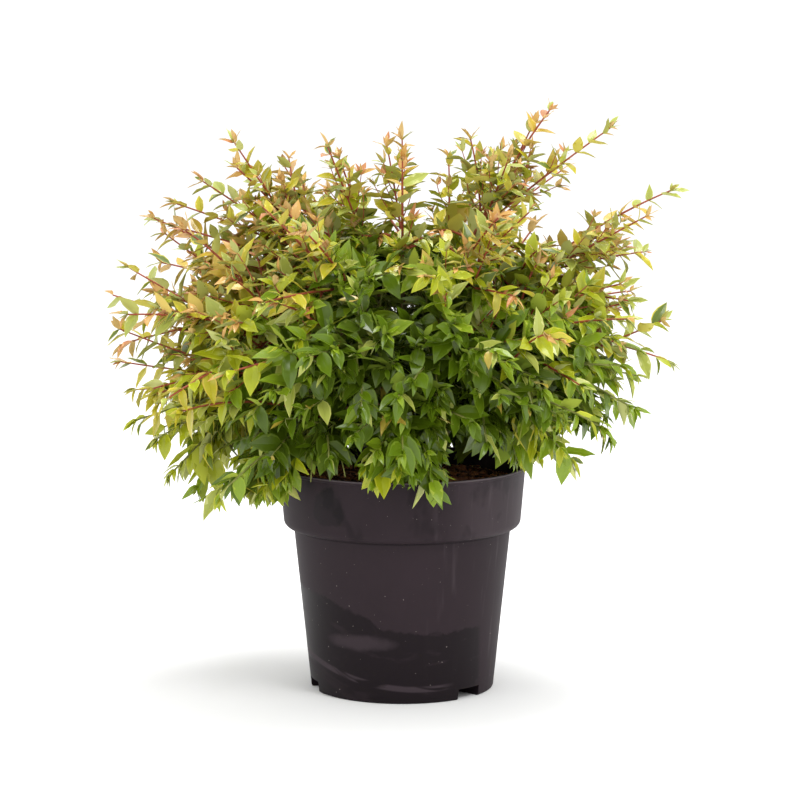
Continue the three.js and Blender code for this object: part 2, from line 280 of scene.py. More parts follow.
# How the shoots of a mass grow: lengths in millimetres, angles in degrees, the rest as shares
GROWTH = SimpleNamespace(
    seed=101,
    red_above=270.0,
    red_tone=0.34,
    twig_sides=5,
    twig_step=13.0,
    twig_steps=3,
    stray=0.07,
    ahead=0.86,
    outwards=0.3,
    fullness=(0.84, 1.02),
    shoot_bow=0.1,
    shoot_base=1.6,
    shoot_tip=0.75,
    shoot_tone=0.1,
    shoot_tone_at=0.8,
    main_short=0.6,
    shoot_leaves_from=0.3,
    wand_angle=21.0,
    wand_angles=(0.8, 1.15),
    wand_root=(0.02, 0.2),
    wand_reach=(0.92, 1.2),
    wand_most=0.95,
    wand_clear=10.0,
    wand_middle=0.45,
    wand_aside=10.0,
    twigs_to=0.62,
    twig_taper=0.7,
    twig_lengths=(0.8, 1.2),
    twig_spread=52.0,
    twig_spreads=(0.85, 1.15),
    twig_base=1.0,
    twig_tip=0.5,
    twig_leaves_from=0.1,
    twig_tone_at=0.7,
    twig_check_at=0.6,
    shortest_twig=20.0,
    shrink=0.85,
    limb_twigs=4,
    limb_twigs_from=0.5,
    limb_twig_step=0.12,
    limb_twig_length=62.0,
)
SPRIG = SimpleNamespace(
    spacing=40.0,
    first=0.18,
    within=0.6,
    share=0.42,
    lengths=(0.8, 1.3),
    shortest=14.0,
    lean=44.0,
    slack=2.0,
    base=0.6,
    tip=0.4,
    internode=12.0,
    leaves_from=0.3,
    leaf_size=0.74,
)
LEAF = SimpleNamespace(
    seed=5,
    shapes=14,
    curl=(0.04, 0.3),
    fold=(0.05, 0.5),
    twist=(-0.5, 0.5),
    wave=(0.0, 0.18),
    waves=9.0,
    bend=2.2,
    tuck=0.25,
    thickness=0.012,
    sunk=0.05,
    first=0.4,
    turn=0.25,
    spread=64.0,
    spreads=(0.75, 1.25),
    close_up=0.3,
    droop_low=1.1,
    droop_high=0.14,
    droop_from=220.0,
    droop_over=200.0,
    face_up=1.3,
    face_out=0.9,
    roll=0.55,
    roll_up=0.6,
    widths=(0.85, 1.2),
    tuft_width=0.72,
    tip_shrink=0.36,
    shrink_power=1.6,
    high_shrink=0.24,
    shrink_from=330.0,
    shrink_over=180.0,
    size_spread=0.52,
    overhang=18.0,
    bare=0.8,
    full_beyond=0.88,
    thinning=1.72,
)
TUFT = SimpleNamespace(
    leaves=5,
    turn=0.8,
    lean=(12, 58),
    size=(0.26, 0.56),
)

# How far along a leaf each row of points lies, and its half width there as a share of the widest
LEAF_ROWS = ((0.03, 0.3), (0.15, 0.78), (0.36, 1.0), (0.6, 0.86), (0.83, 0.38))
LEAF_COLUMNS = (-1.0, -0.78, 0.0, 0.78, 1.0)

# How sunlit a place is by its height and its side, each reached over a distance in millimetres. It picks the
# leaves' colours: partly the plant's own, yellower and bronzed where sunlit, and partly painted light and
# shade, with the heart bands painting light low in the crown's middle and shade above it
TONE = SimpleNamespace(
    middle=324.0,
    span=230.0,
    rising=1.58,
    falling=0.9,
    outer=0.2,
    outer_from=150.0,
    outer_over=110.0,
    right=0.32,
    right_from=30.0,
    right_over=140.0,
    left=0.8,
    left_from=70.0,
    left_over=130.0,
    low_left=0.35,
    low_left_from=130.0,
    low_left_over=60.0,
    low_left_below=330.0,
    low_left_deep=100.0,
    heart_across=-10.0,
    heart_over=80.0,
    heart_painted_bands=((0, 290, 0.36), (300, 400, -0.16)),
    spread=0.14,
)
# What makes a leaf one kind or another: chances of it, tones, and places in millimetres
KIND = SimpleNamespace(
    faded=0.012,
    sage=0.06,
    sage_lit=0.18,
    sage_right=0.36,
    right_from=180.0,
    right_over=50.0,
    edged=0.88,
    edged_tone=0.42,
    tip_tone=0.24,
    tone_spread=0.17,
    young_tuft=0.74,
    young_share=0.85,
    young_tone=1.15,
    young_above=300.0,
    bronze=0.76,
    ripe_from=56.0,
    ripening=236.0,
)
# The kinds of leaf from the shaded inside of the crown outwards, each up to a tone; gold comes after them
LEAF_STEPS = ((0.09, "deep"), (0.37, "green"), (0.62, "bright"), (0.86, "lime"), (1.16, "yellow_green"))

# Each kind of leaf with the colours of its blade, its margin and its underside; the undersides are paler as
# leaves' are, and several are lighter still as painted light where they lie in the crown's shade
LEAF_COLOURS = {
    "deep": ("3f5109", "48590d", "5e6d1f"),
    "green": ("566e0f", "607813", "76882d"),
    "bright": ("78901b", "849a21", "96a43b"),
    "lime": ("a0a81c", "b2b42a", "bac044"),
    "yellow_green": ("b2aa2a", "c6b03c", "d0c660"),
    "gold": ("c0a63c", "c49a46", "d8c068"),
    "bronze": ("c69e56", "bc8648", "dcbc80"),
    "rust": ("bc8252", "b06a3e", "d4a878"),
    "sage": ("a2aa4c", "b4b85e", "c2c67e"),
    "edged": ("607220", "ccc044", "b0b262"),
    "faded": ("ac9a3a", "a88a34", "bcae62"),
}
# The roughness and the specular level of each side of a leaf
LEAF_GLOSS = {"blade": (0.26, 0.42), "margin": (0.32, 0.34), "underside": (0.62, 0.1)}
BLADE, MARGIN, UNDERSIDE = range(3)
COLOURS = {
    "pot_dark": ("Pot, dark", "231b1f"),
    "pot_light": ("Pot, light", "2f252a"),
    # Also the colour of the painted line of shade in the groove under the band
    "pot_wet_and_shade": ("Pot where it is wet", "130c10"),
    "soil_dark": ("Soil, dark", "4a2a1c"),
    "soil_light": ("Soil, light", "9a6040"),
    "bark_dark": ("Bark, dark", "4a2f21"),
    "bark_light": ("Bark, light", "8a6a4e"),
    "red_twig": ("Red twigs", "a04e36"),
    "green_twig": ("Green twigs", "808440"),
}
# Each kind of litter on the soil with its dark and its light colour
LITTER = {
    "bark chips": ("6e4028", "b87a4c"),
    "dark crumbs": ("301c12", "5e3a26"),
    "pale bits": ("b4aa68", "dcd6a6"),
}
# Fixed colours; sheen is the colour of a painted sheen, and lip the colour of a painted highlight along the
# rim
TINTS = {
    "sheen": "463d41",
    "rubbed": "4a4146",
    "dust": "8f8580",
    "lip": "7a7074",
    "fibre": "94663f",
    "inner_bark": "75412c",
    "studio_floor": "f6f6f6",
}
# Where the marks on the pot lie in metres, to the right of its axis and up from the floor. The groove is where
# a line of shade is painted under the band, sheen and the drips a painted sheen on the right side, and lip a
# painted highlight along the rim
MARKS = SimpleNamespace(
    wet_line=0.067,
    wet_rise=0.031,
    wet_slope=(0.01, -0.09),
    wet_ragged=0.016,
    wet_edge=(-0.001, 0.002),
    wet_end=(0.068, 0.072),
    arc_middle=0.02,
    smile=0.0135,
    smile_end=(0.05, 0.03),
    rubbed=(-0.036, 0.056, 0.026, 0.0065, 0.95),
    splash=(-0.066, 0.18, 0.013, 0.018, 0.2),
    band=(0.15, 0.154),
    sheen=(0.03, 0.08),
    drips_and_sheen=(0.0, 0.05),
    groove=0.1494,
    lip=(0.2052, 0.2064),
)

# The studio, in metres, degrees and watts

VIEW = SimpleNamespace(
    distance=2.8,
    aside=-0.0021,
    height=0.638,
    pitch=7.564,
    focal=138.3,
    sensor=36.0,
    farthest=100.0,
)
# Each light with its place, its width and its power
LIGHTS = {
    "key": ((1.4, -1.7, 2.6), 1.0, 30),
    "fill": ((-2.4, -1.6, 1.4), 1.6, 6),
    "top": ((0.3, 0.5, 3.0), 1.4, 50),
}
LIGHT_TARGET = (0, 0, 0.3)
SKY_STRENGTH = 1.18
FLOOR_SIZE = 60


# Settings that a user would change


def linear(colour):
    """A hex colour as the linear values that Blender's sockets take."""
    values = [int(colour[i:i + 2], 16) / 255 for i in (0, 2, 4)]
    return tuple(v / 12.92 if v <= 0.04045 else ((v + 0.055) / 1.055) ** 2.4 for v in values) + (1.0,)


def length_setting(name, description, value):
    """A property for a length, with its default given in millimetres."""
    return bpy.props.FloatProperty(
        name=name,
        description=description,
        default=value * MM,
        min=0.0,
        precision=4,
        unit="LENGTH",
    )


def colour_setting(name, description, value):
    """A property for a colour, with its default given as a hex colour."""
    return bpy.props.FloatVectorProperty(
        name=name,
        description=description,
        default=linear(value),
        size=4,
        min=0.0,
        max=1.0,
        subtype="COLOR",
    )


def settings(group_name):
    """The values of one of the scene's property groups by name, with lengths in millimetres."""
    group = getattr(bpy.context.scene, group_name)
    found = {}
    for name in group.__annotations__:
        value = getattr(group, name)
        kind = group.bl_rna.properties[name]
        if kind.type == "FLOAT" and kind.is_array:
            value = tuple(value)
        elif kind.type == "FLOAT" and kind.unit == "LENGTH":
            value = round(value / MM, 4)
        found[name] = value
    return found


def piece_sizes(group_name, fixed):
    """A property group's sizes by name, together with the fixed ones of the same piece."""
    return SimpleNamespace(**vars(fixed), **settings(group_name))


# Numbers, vectors and curves


def mixed(a, b, share):
    return a + (b - a) * share


def ramp(value, width):
    """0 up to a value of 0, 1 from width on, and in proportion between them."""
    return min(1, max(0, value / width))


def direction(turn, rise):
    """The unit vector at a turn round the plant and a rise above the level, both in degrees."""
    turn, rise = math.radians(turn), math.radians(rise)
    level = math.cos(rise)
    return Vector((level * math.cos(turn), level * math.sin(turn), math.sin(rise)))


class Curve:
    """A curve through its control points: a line, a quadratic or a cubic one."""

    def __init__(self, *points):
        self.points = points
        steps = [self.at(i / 12) for i in range(13)]
        self.length = sum((b - a).length for a, b in zip(steps, steps[1:]))

    def at(self, share):
        points = self.points
        while len(points) > 1:
            points = [a.lerp(b, share) for a, b in zip(points, points[1:])]
        return points[0]

    def tangent(self, share):
        step = 0.01
        return (self.at(min(1, share + step)) - self.at(max(0, share - step))).normalized()


def sideways(tangent, turn):
    """The direction across a tangent, at a turn in radians round it."""
    level = UP.cross(tangent)
    if level.length < 0.1:
        level = Vector((1, 0, 0))
    level.normalize()
    rise = tangent.cross(level).normalized()
    return level * math.cos(turn) + rise * math.sin(turn)


def leaning(tangent, side, degrees):
    spread = math.radians(degrees)
    return (tangent * math.cos(spread) + side * math.sin(spread)).normalized()


# Meshes


def deselect():
    if bpy.context.mode != "OBJECT":
        bpy.ops.object.mode_set(mode="OBJECT")
    bpy.ops.object.select_all(action="DESELECT")


def pick(piece):
    """Makes a piece the active one, and the only one that is selected."""
    deselect()
    bpy.context.view_layer.objects.active = piece
    piece.select_set(True)


def new_piece(name):
    """Names the object that a primitive operator has just made."""
    piece = bpy.context.object
    piece.name = piece.data.name = name
    return piece


def spun(name, profile, steps):
    """A closed solid of revolution from points of radius and height, which start and end on the axis."""
    deselect()
    start = Vector((profile[0][0], 0, profile[0][1])) * MM
    bpy.ops.mesh.primitive_plane_add(size=1 * MM, location=start)
    piece = new_piece(name)
    bpy.ops.object.transform_apply(location=True)
    bpy.ops.object.mode_set(mode="EDIT")
    bpy.ops.mesh.select_mode(type="VERT")
    bpy.ops.mesh.merge(type="CENTER")
    for (r0, z0), (r1, z1) in zip(profile, profile[1:]):
        move = (r1 * MM - r0 * MM, 0, z1 * MM - z0 * MM)
        bpy.ops.mesh.extrude_vertices_move(TRANSFORM_OT_translate={"value": move})
    bpy.ops.mesh.select_all(action="SELECT")
    bpy.ops.mesh.spin(steps=steps, angle=math.tau, center=(0, 0, 0), axis=(0, 0, 1))
    bpy.ops.mesh.select_all(action="SELECT")
    bpy.ops.mesh.remove_doubles(threshold=0.002 * MM)
    bpy.ops.mesh.normals_make_consistent(inside=False)
    bpy.ops.object.mode_set(mode="OBJECT")
    return piece


def cut(piece, cutter):
    """Takes one closed piece out of another, and the cutter away."""
    pick(piece)
    modifier = piece.modifiers.new("cut", "BOOLEAN")
    modifier.operation = "DIFFERENCE"
    modifier.solver = "EXACT"
    modifier.object = cutter
    bpy.ops.object.modifier_apply(modifier=modifier.name)
    bpy.data.objects.remove(cutter)


def mend(piece, distance):
    """Merges points that cuts have left within a distance in millimetres, and turns the faces outwards."""
    pick(piece)
    bpy.ops.object.mode_set(mode="EDIT")
    bpy.ops.mesh.select_mode(type="VERT")
    bpy.ops.mesh.select_all(action="SELECT")
    bpy.ops.mesh.remove_doubles(threshold=distance * MM)
    bpy.ops.mesh.dissolve_degenerate(threshold=distance * MM)
    bpy.ops.mesh.normals_make_consistent(inside=False)
    bpy.ops.object.mode_set(mode="OBJECT")


def smooth(piece, degrees):
    pick(piece)
    bpy.ops.object.shade_smooth_by_angle(angle=math.radians(degrees))


def mesh_piece(name, points, faces, slots, materials, sharp_pairs=None, block=0):
    """An object from arrays: points in millimetres, and lists of faces with their material slots."""
    mesh = bpy.data.meshes.new(name)
    mesh.vertices.add(len(points))
    mesh.vertices.foreach_set("co", (points * MM).astype(np.float32).ravel())
    sizes = np.concatenate([np.full(len(f), f.shape[1]) for f in faces])
    corners = np.concatenate([f.ravel() for f in faces])
    mesh.loops.add(len(corners))
    mesh.loops.foreach_set("vertex_index", corners.astype(np.int32))
    mesh.polygons.add(len(sizes))
    starts = np.concatenate([[0], np.cumsum(sizes)[:-1]])
    mesh.polygons.foreach_set("loop_start", starts.astype(np.int32))
    mesh.polygons.foreach_set("material_index", np.concatenate(slots).astype(np.int32))
    mesh.polygons.foreach_set("use_smooth", np.ones(len(sizes), dtype=bool))
    mesh.update(calc_edges=True)
    if sharp_pairs is not None:
        ends = np.empty(len(mesh.edges) * 2, dtype=np.int32)
        mesh.edges.foreach_get("vertices", ends)
        ends = ends.reshape(-1, 2) % block
        mesh.edges.foreach_set("use_edge_sharp", sharp_pairs[ends[:, 0], ends[:, 1]])
    for material in materials:
        mesh.materials.append(material)
    piece = bpy.data.objects.new(name, mesh)
    bpy.context.scene.collection.objects.link(piece)
    return piece


class Tubes:
    """Many tapering tubes, gathered as arrays and made one mesh."""

    def __init__(self):
        self.points = []
        self.faces = []
        self.count = 0

    def add(self, curve, radius_at, sides, steps):
        """A closed tube along a curve. Its radius comes from the share along, the turn and the place."""
        side = sideways(curve.tangent(0), 0)
        rows = []
        for i in range(steps + 1):
            share = i / steps
            tangent = curve.tangent(share)
            side = (side - tangent * side.dot(tangent)).normalized()
            across = tangent.cross(side)
            place = curve.at(share)
            for j in range(sides):
                turn = math.tau * j / sides
                out = side * math.cos(turn) + across * math.sin(turn)
                rows.append(place + out * radius_at(share, turn, place))
        rows += [curve.at(0), curve.at(1)]
        first = self.count
        ring = np.arange(sides)
        following = (ring + 1) % sides
        foot, head = first + len(rows) - 2, first + len(rows) - 1
        for i in range(steps):
            low, high = first + i * sides, first + (i + 1) * sides
            lower = np.stack([low + ring, low + following, high + following], axis=1)
            upper = np.stack([low + ring, high + following, high + ring], axis=1)
            self.faces += [lower, upper]
        last = first + steps * sides
        self.faces.append(np.stack([np.full(sides, foot), first + following, first + ring], axis=1))
        self.faces.append(np.stack([np.full(sides, head), last + ring, last + following], axis=1))
        self.points += rows
        self.count += len(rows)

    def piece(self, name, material):
        faces = np.concatenate(self.faces)
        points = np.array([tuple(point) for point in self.points])
        return mesh_piece(name, points, [faces], [np.zeros(len(faces))], [material])


# Materials


class Wire:
    """A number that runs through a finish, so that its maths reads as Python."""

    def __init__(self, finish, socket):
        self.finish = finish
        self.socket = socket

    def maths(self, operation, *values):
        inputs = dict(enumerate(values))
        return self.finish.node("ShaderNodeMath", {"operation": operation}, inputs)

    def __add__(self, other):
        return self.maths("ADD", self, other)

    def __radd__(self, other):
        return self.maths("ADD", other, self)

    def __sub__(self, other):
        return self.maths("SUBTRACT", self, other)

    def __rsub__(self, other):
        return self.maths("SUBTRACT", other, self)

    def __mul__(self, other):
        return self.maths("MULTIPLY", self, other)

    def __rmul__(self, other):
        return self.maths("MULTIPLY", other, self)


class Finish:
    """A material whose nodes are made by one method."""

    def __init__(self, name):
        self.material = bpy.data.materials.new(name)
        self.material.use_nodes = True
        self.tree = self.material.node_tree
        self.shader = self.tree.nodes["Principled BSDF"]

    def node(self, kind, options=None, inputs=None, output=0):
        """Adds a node. Its options are set first, then its inputs, which take values or wires."""
        node = self.tree.nodes.new(kind)
        for name, value in (options or {}).items():
            setattr(node, name, value)
        self.feed(node, inputs or {})
        return Wire(self, node.outputs[output])

    def feed(self, node, inputs):
        for name, value in inputs.items():
            if isinstance(value, Wire):
                self.tree.links.new(value.socket, node.inputs[name])
            else:
                node.inputs[name].default_value = value

    def surface(self, inputs):
        self.feed(self.shader, inputs)
        return self.material

    def noise(self, scale, stretch=(1, 1, 1), detail=4.0, roughness=0.5, distortion=0.0):
        """Noise on the Object coordinates, stretched first."""
        spot = self.node("ShaderNodeTexCoord", output="Object")
        inputs = {
            "Vector": self.node("ShaderNodeMapping", {}, {"Vector": spot, "Scale": stretch}),
            "Scale": scale,
            "Detail": detail,
            "Roughness": roughness,
            "Distortion": distortion,
        }
        return self.node("ShaderNodeTexNoise", {}, inputs)

    def ramped(self, value, low, high):
        """0 below low, 1 above high, and smooth between them."""
        inputs = {"Value": value, "From Min": low, "From Max": high}
        return self.node("ShaderNodeMapRange", {"interpolation_type": "SMOOTHSTEP"}, inputs)

    def mix(self, factor, first, second):
        """A mix of two colours."""
        inputs = {0: factor, 6: first, 7: second}
        return self.node("ShaderNodeMix", {"data_type": "RGBA"}, inputs, output=2)

    def bump(self, height, strength, distance):
        inputs = {"Height": height, "Strength": strength, "Distance": distance}
        return self.node("ShaderNodeBump", {}, inputs)


def pot_finish(colours):
    """Satin near-black plastic, wiped wet below a slanting line, with splashes, drips and dust, a painted
    sheen on its right side, a painted line of shade under the band and a painted highlight along the lip.
    """
    finish = Finish("pot plastic")
    place = finish.node("ShaderNodeTexCoord", output="Object")
    across = finish.node("ShaderNodeSeparateXYZ", {}, {0: place}, output="X")
    height = finish.node("ShaderNodeSeparateXYZ", {}, {0: place}, output="Z")
    haze = finish.noise(18.0, (1.0, 1.0, 0.7), 5.0, 0.6)
    ragged = finish.noise(60.0, detail=4.0, roughness=0.6)
    dull = finish.noise(26.0, (1.0, 1.0, 0.6), 3.0, 0.6)
    streaks = finish.noise(120.0, (1.0, 1.0, 0.04), 3.0)
    specks = finish.noise(430.0, detail=1.0)

    def spot(x, z, width, tall, soft):
        """An oval blot with a ragged edge, on both sides of the pot."""
        aside, up = (across - x) * (1 / width), (height - z) * (1 / tall)
        return finish.ramped(aside * aside + up * up + (ragged - 0.5) * 2.0, 1 + soft, 1 - soft)

    def stripe(value, middle, outer, inner):
        """A line at a middle value, with its outer and its inner half width given as squares."""
        off = value - middle
        return finish.ramped(off * off, outer, inner)

    slope = finish.ramped(across, *MARKS.wet_slope)
    line = MARKS.wet_line + slope * MARKS.wet_rise + (ragged - 0.5) * MARKS.wet_ragged
    wet = finish.ramped(line - height, *MARKS.wet_edge) * (1 - finish.ramped(across, *MARKS.wet_end))
    off = across - MARKS.arc_middle
    arc = height - off * off * 2.0
    sweep = finish.node("ShaderNodeCombineXYZ", {}, {"X": across * 24.0, "Y": 0.5, "Z": arc * 80.0})
    wipe_inputs = {"Vector": sweep, "Scale": 1.0, "Detail": 3.0, "Distortion": 0.5}
    wiped = finish.node("ShaderNodeTexNoise", {}, wipe_inputs)
    fingers = finish.ramped(wiped, 0.53, 0.64)
    smile = stripe(arc, MARKS.smile, 0.000012, 0.000002) * finish.ramped(wiped, 0.36, 0.46)
    smile = smile * finish.ramped(across, *MARKS.smile_end)
    rubbed = spot(*MARKS.rubbed)
    wet = wet * (1 - rubbed * 0.95) * (1 - fingers * 0.5) * (1 - smile * 0.95)
    band = finish.ramped(height, *MARKS.band)
    patch = finish.ramped(dull, 0.5, 0.6) * band * 0.5
    splash = spot(*MARKS.splash) * 0.9
    # Vertical streaks on the right side: drip marks, and a painted sheen
    drips_and_sheen = finish.ramped(streaks, 0.54, 0.72) * finish.ramped(across, *MARKS.drips_and_sheen)
    # A painted line of shade in the groove under the band
    step_shade = stripe(height, MARKS.groove, 0.000003, 0.0000004)
    dust = finish.ramped(specks, 0.775, 0.81)
    # A painted highlight along the top of the lip
    lip = finish.ramped(height, *MARKS.lip) * (0.4 + ragged)
    # A painted sheen on the right half of the band
    sheen = band * finish.ramped(across, *MARKS.sheen)
    colour = finish.mix(haze, colours["pot_dark"], colours["pot_light"])
    # Lightened with the sheen colour: painted sheen along the streaks and the band's right side
    colour = finish.mix(drips_and_sheen * 0.36 + sheen * 0.5, colour, linear(TINTS["sheen"]))
    # Darkened by wet marks, the splash and the painted line of shade under the band
    colour = finish.mix(wet * 0.85 + patch + splash * 0.7 + step_shade * 0.6, colour, colours["pot_wet_and_shade"])
    colour = finish.mix(rubbed * 0.25 + smile * 0.4, colour, linear(TINTS["rubbed"]))
    colour = finish.mix(dust * 0.6, colour, linear(TINTS["dust"]))
    # Lightened at the lip: a painted highlight
    colour = finish.mix(lip * 0.6, colour, linear(TINTS["lip"]))
    grain = finish.noise(240.0, detail=3.0) * 0.4 + finish.noise(36.0, (1.0, 1.0, 0.4), 2.0)
    return finish.surface({
        "Base Color": colour,
        "Roughness": 0.52 + haze * 0.14 - wet * 0.12 - patch * 0.12 - splash * 0.14,
        "Normal": finish.bump(grain, 0.12, 0.0006),
        "Specular IOR Level": 0.12,
    })


def soil_finish(colours):
    """Red-brown peat and bark, damp and rough."""
    finish = Finish("peat")
    lumps = finish.noise(70.0, detail=8.0, roughness=0.7)
    fibres = finish.noise(260.0, (1.0, 1.0, 1.0), 4.0, 0.7, 2.0)
    peat = finish.mix(finish.ramped(lumps, 0.35, 0.65), colours["soil_dark"], colours["soil_light"])
    return finish.surface({
        "Base Color": finish.mix(finish.ramped(fibres, 0.55, 0.75) * 0.6, peat, linear(TINTS["fibre"])),
        "Roughness": 0.72 + lumps * 0.25,
        "Normal": finish.bump(lumps + fibres * 0.5, 0.7, 0.002),
    })


def chip_finish(name, dark, light):
    finish = Finish(name)
    grain = finish.noise(380.0, (1.0, 0.25, 1.0), 5.0, 0.65)
    return finish.surface({
        "Base Color": finish.mix(finish.ramped(grain, 0.3, 0.7), linear(dark), linear(light)),
        "Roughness": 0.8,
        "Normal": finish.bump(grain, 0.5, 0.0008),
    })


def bark_finish(colours):
    """Fine flaking bark, grey-brown over a redder layer."""
    finish = Finish("bark")
    flakes = finish.noise(170.0, (1.0, 1.0, 0.22), 6.0, 0.65, 0.6)
    patches = finish.noise(48.0, (1.0, 1.0, 0.5), 3.0)
    bark = finish.mix(finish.ramped(flakes, 0.35, 0.65), colours["bark_dark"], colours["bark_light"])
    redder = finish.ramped(patches, 0.5, 0.7) * 0.5
    return finish.surface({
        "Base Color": finish.mix(redder, bark, linear(TINTS["inner_bark"])),
        "Roughness": 0.7 + flakes * 0.2,
        "Normal": finish.bump(flakes, 0.6, 0.001),
    })


def twig_finish(name, colour):
    """Young wood, mottled a little darker."""
    finish = Finish(name)
    mottle = finish.noise(120.0, detail=4.0, roughness=0.6)
    darker = tuple(0.7 * value for value in colour[:3]) + (1.0,)
    return finish.surface({
        "Base Color": finish.mix(finish.ramped(mottle, 0.35, 0.65), darker, colour),
        "Roughness": 0.46 + mottle * 0.2,
        "Specular IOR Level": 0.3,
    })


def plain_finish(name, colour, roughness, specular):
    return Finish(name).surface({
        "Base Color": colour,
        "Roughness": roughness,
        "Specular IOR Level": specular,
    })


# The pot and its soil


def wall_profile(pot, inset, foot):
    """The pot's wall from its foot to its band, moved inwards by inset, in millimetres."""
    step = pot.height - pot.band_depth + inset
    corner = pot.band_foot - pot.band_corner - inset
    eased = pot.corner_share * pot.base_corner
    points = [
        (pot.base - inset - pot.base_corner, foot),
        (pot.base - inset - eased, foot + eased),
        (pot.base - inset, foot + pot.base_corner),
    ]
    for i in range(1, pot.body_steps):
        share = i / pot.body_steps
        points.append((
            mixed(pot.base, pot.body_top, share) - inset,
            mixed(foot + pot.base_corner, step - pot.body_stop, share),
        ))
    points.append((pot.body_top - inset, step - pot.body_corner))
    points.append((pot.body_top - inset + pot.body_corner, step))
    for i in range(pot.round_steps + 1):
        turn = QUARTER * i / pot.round_steps
        points.append((
            corner + pot.band_corner * math.sin(turn),
            step + pot.band_corner * (1 - math.cos(turn)),
        ))
    return points


def channel_plug(pot, turn, margin):
    """A block that fills one drainage channel, grown by margin on every side."""
    deselect()
    length = pot.lip - pot.channel_inner + margin
    width = pot.channel_width + 2 * margin
    bpy.ops.mesh.primitive_cube_add(size=1)
    plug = new_piece("plug")
    plug.scale = Vector((length, width, pot.channel_height + margin + pot.channel_below)) * MM
    plug.location.x = (pot.channel_inner - margin + length / 2) * MM
    plug.location.z = (pot.channel_height + margin - pot.channel_below) / 2 * MM
    bpy.ops.object.transform_apply(location=True, scale=True)
    bpy.ops.object.mode_set(mode="EDIT")
    bpy.ops.mesh.select_mode(type="EDGE")
    bpy.ops.mesh.select_all(action="DESELECT")
    bpy.ops.object.mode_set(mode="OBJECT")
    inner = (pot.channel_inner - margin) * MM
    for edge in plug.data.edges:
        a, b = (plug.data.vertices[i].co for i in edge.vertices)
        upright = abs(a.z - b.z) > 0.5 * pot.channel_height * MM
        edge.select = upright and abs(a.x - inner) < 0.1 * MM
    bpy.ops.object.mode_set(mode="EDIT")
    bpy.ops.mesh.bevel(offset=pot.inner_corner * MM, segments=pot.inner_steps, affect="EDGES")
    bpy.ops.object.mode_set(mode="OBJECT")
    plug.rotation_euler.z = math.radians(turn)
    bpy.ops.object.transform_apply(rotation=True)
    return plug


def drain(pot, turn):
    """A round plug for the hole in the floor over one channel."""
    deselect()
    away = direction(turn, 0) * pot.drain_reach
    bpy.ops.mesh.primitive_cylinder_add(
        vertices=pot.drain_sides,
        radius=pot.drain_radius * MM,
        depth=pot.drain_depth * MM,
        location=Vector((away.x, away.y, pot.channel_height)) * MM,
    )
    piece = new_piece("drain")
    bpy.ops.object.transform_apply(location=True)
    return piece


def make_pot(pot, colours):
    """The moulded pot: its tapering wall, deep rim band, rounded lip, and a floor with three channels."""
    lip, top, edge = pot.lip, pot.height, pot.lip_round
    eased = pot.corner_share * edge
    outline = [(0, 0), *wall_profile(pot, 0, 0)]
    for i in range(1, pot.band_steps + 1):
        share = i / pot.band_steps
        outline.append((
            mixed(pot.band_foot, pot.band_top, share),
            mixed(pot.band_low, pot.band_high, share),
        ))
    outline += [
        (lip - pot.lip_under, top - pot.lip_depth),
        (lip, top - pot.lip_depth + pot.lip_rise),
        (lip, top - edge),
        (lip - eased, top - eased),
        (lip - edge, top),
        (0, top),
    ]
    body = spun("pot_shell", outline, pot.steps)

    mouth = top + pot.mouth_above
    inner = pot.band_top - pot.wall
    cavity_outline = [
        (0, pot.floor),
        *wall_profile(pot, pot.wall, pot.floor),
        *[(inner + out, top - down) for out, down in pot.mouth_bevel],
        (inner + pot.mouth_flare, mouth),
        (0, mouth),
    ]
    cavity = spun("cavity", cavity_outline, pot.steps)
    turns = [pot.first_turn + 360 / pot.channels * i for i in range(pot.channels)]
    for turn in turns:
        cut(cavity, channel_plug(pot, turn, pot.wall))
    cut(body, cavity)
    for turn in turns:
        cut(body, channel_plug(pot, turn, 0))
        cut(body, drain(pot, turn))
    mend(body, pot.merge)
    body.data.materials.clear()
    body.data.materials.append(pot_finish(colours))
    smooth(body, pot.smooth_to)
    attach(body, "root")
    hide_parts("pot")


def soil_height(soil, x, y):
    """The lumpy top of the soil, in millimetres."""
    radius = math.hypot(x, y)
    dome = mixed(soil.level, soil.edge, min(1, radius / soil.dome_radius) ** 3)
    lumps = noise.fractal(Vector((x, y, 3)) * soil.lump_scale, *soil.lump_fractal) * soil.lumps
    fine = noise.noise(Vector((x, y, 9)) * soil.grain_scale) * soil.grain
    calm = ramp(radius - soil.calm_stem, soil.calm_stem) * ramp(soil.calm_wall - radius, soil.calm_width)
    return dome + (lumps + fine) * calm


def make_soil(soil, colours):
    """Peat that fills the pot to just under its rim."""
    edge = SOIL_HIGH.x / MM
    low = soil.edge - soil.depth
    outline = [(0, low), (edge - soil.foot_inset, low), (edge, soil.edge - soil.shoulder)]
    outline += [(edge * (1 - i / soil.rings), soil.edge) for i in range(soil.rings + 1)]
    body = spun("soil_bed", outline, soil.steps)
    for vertex in body.data.vertices:
        x, y, z = vertex.co / MM
        if z > soil.edge - soil.shoulder / 2:
            vertex.co.z = soil_height(soil, x, y) * MM
    body.data.update()
    body.data.materials.append(soil_finish(colours))
    smooth(body, soil.smooth_to)
    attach(body, "root")
    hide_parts("soil")


def turned(turn, a, b):
    """The matrix of a turn in radians from axis a towards axis b."""
    matrix = np.eye(3)
    matrix[a, a] = matrix[b, b] = math.cos(turn)
    matrix[b, a] = math.sin(turn)
    matrix[a, b] = -math.sin(turn)
    return matrix


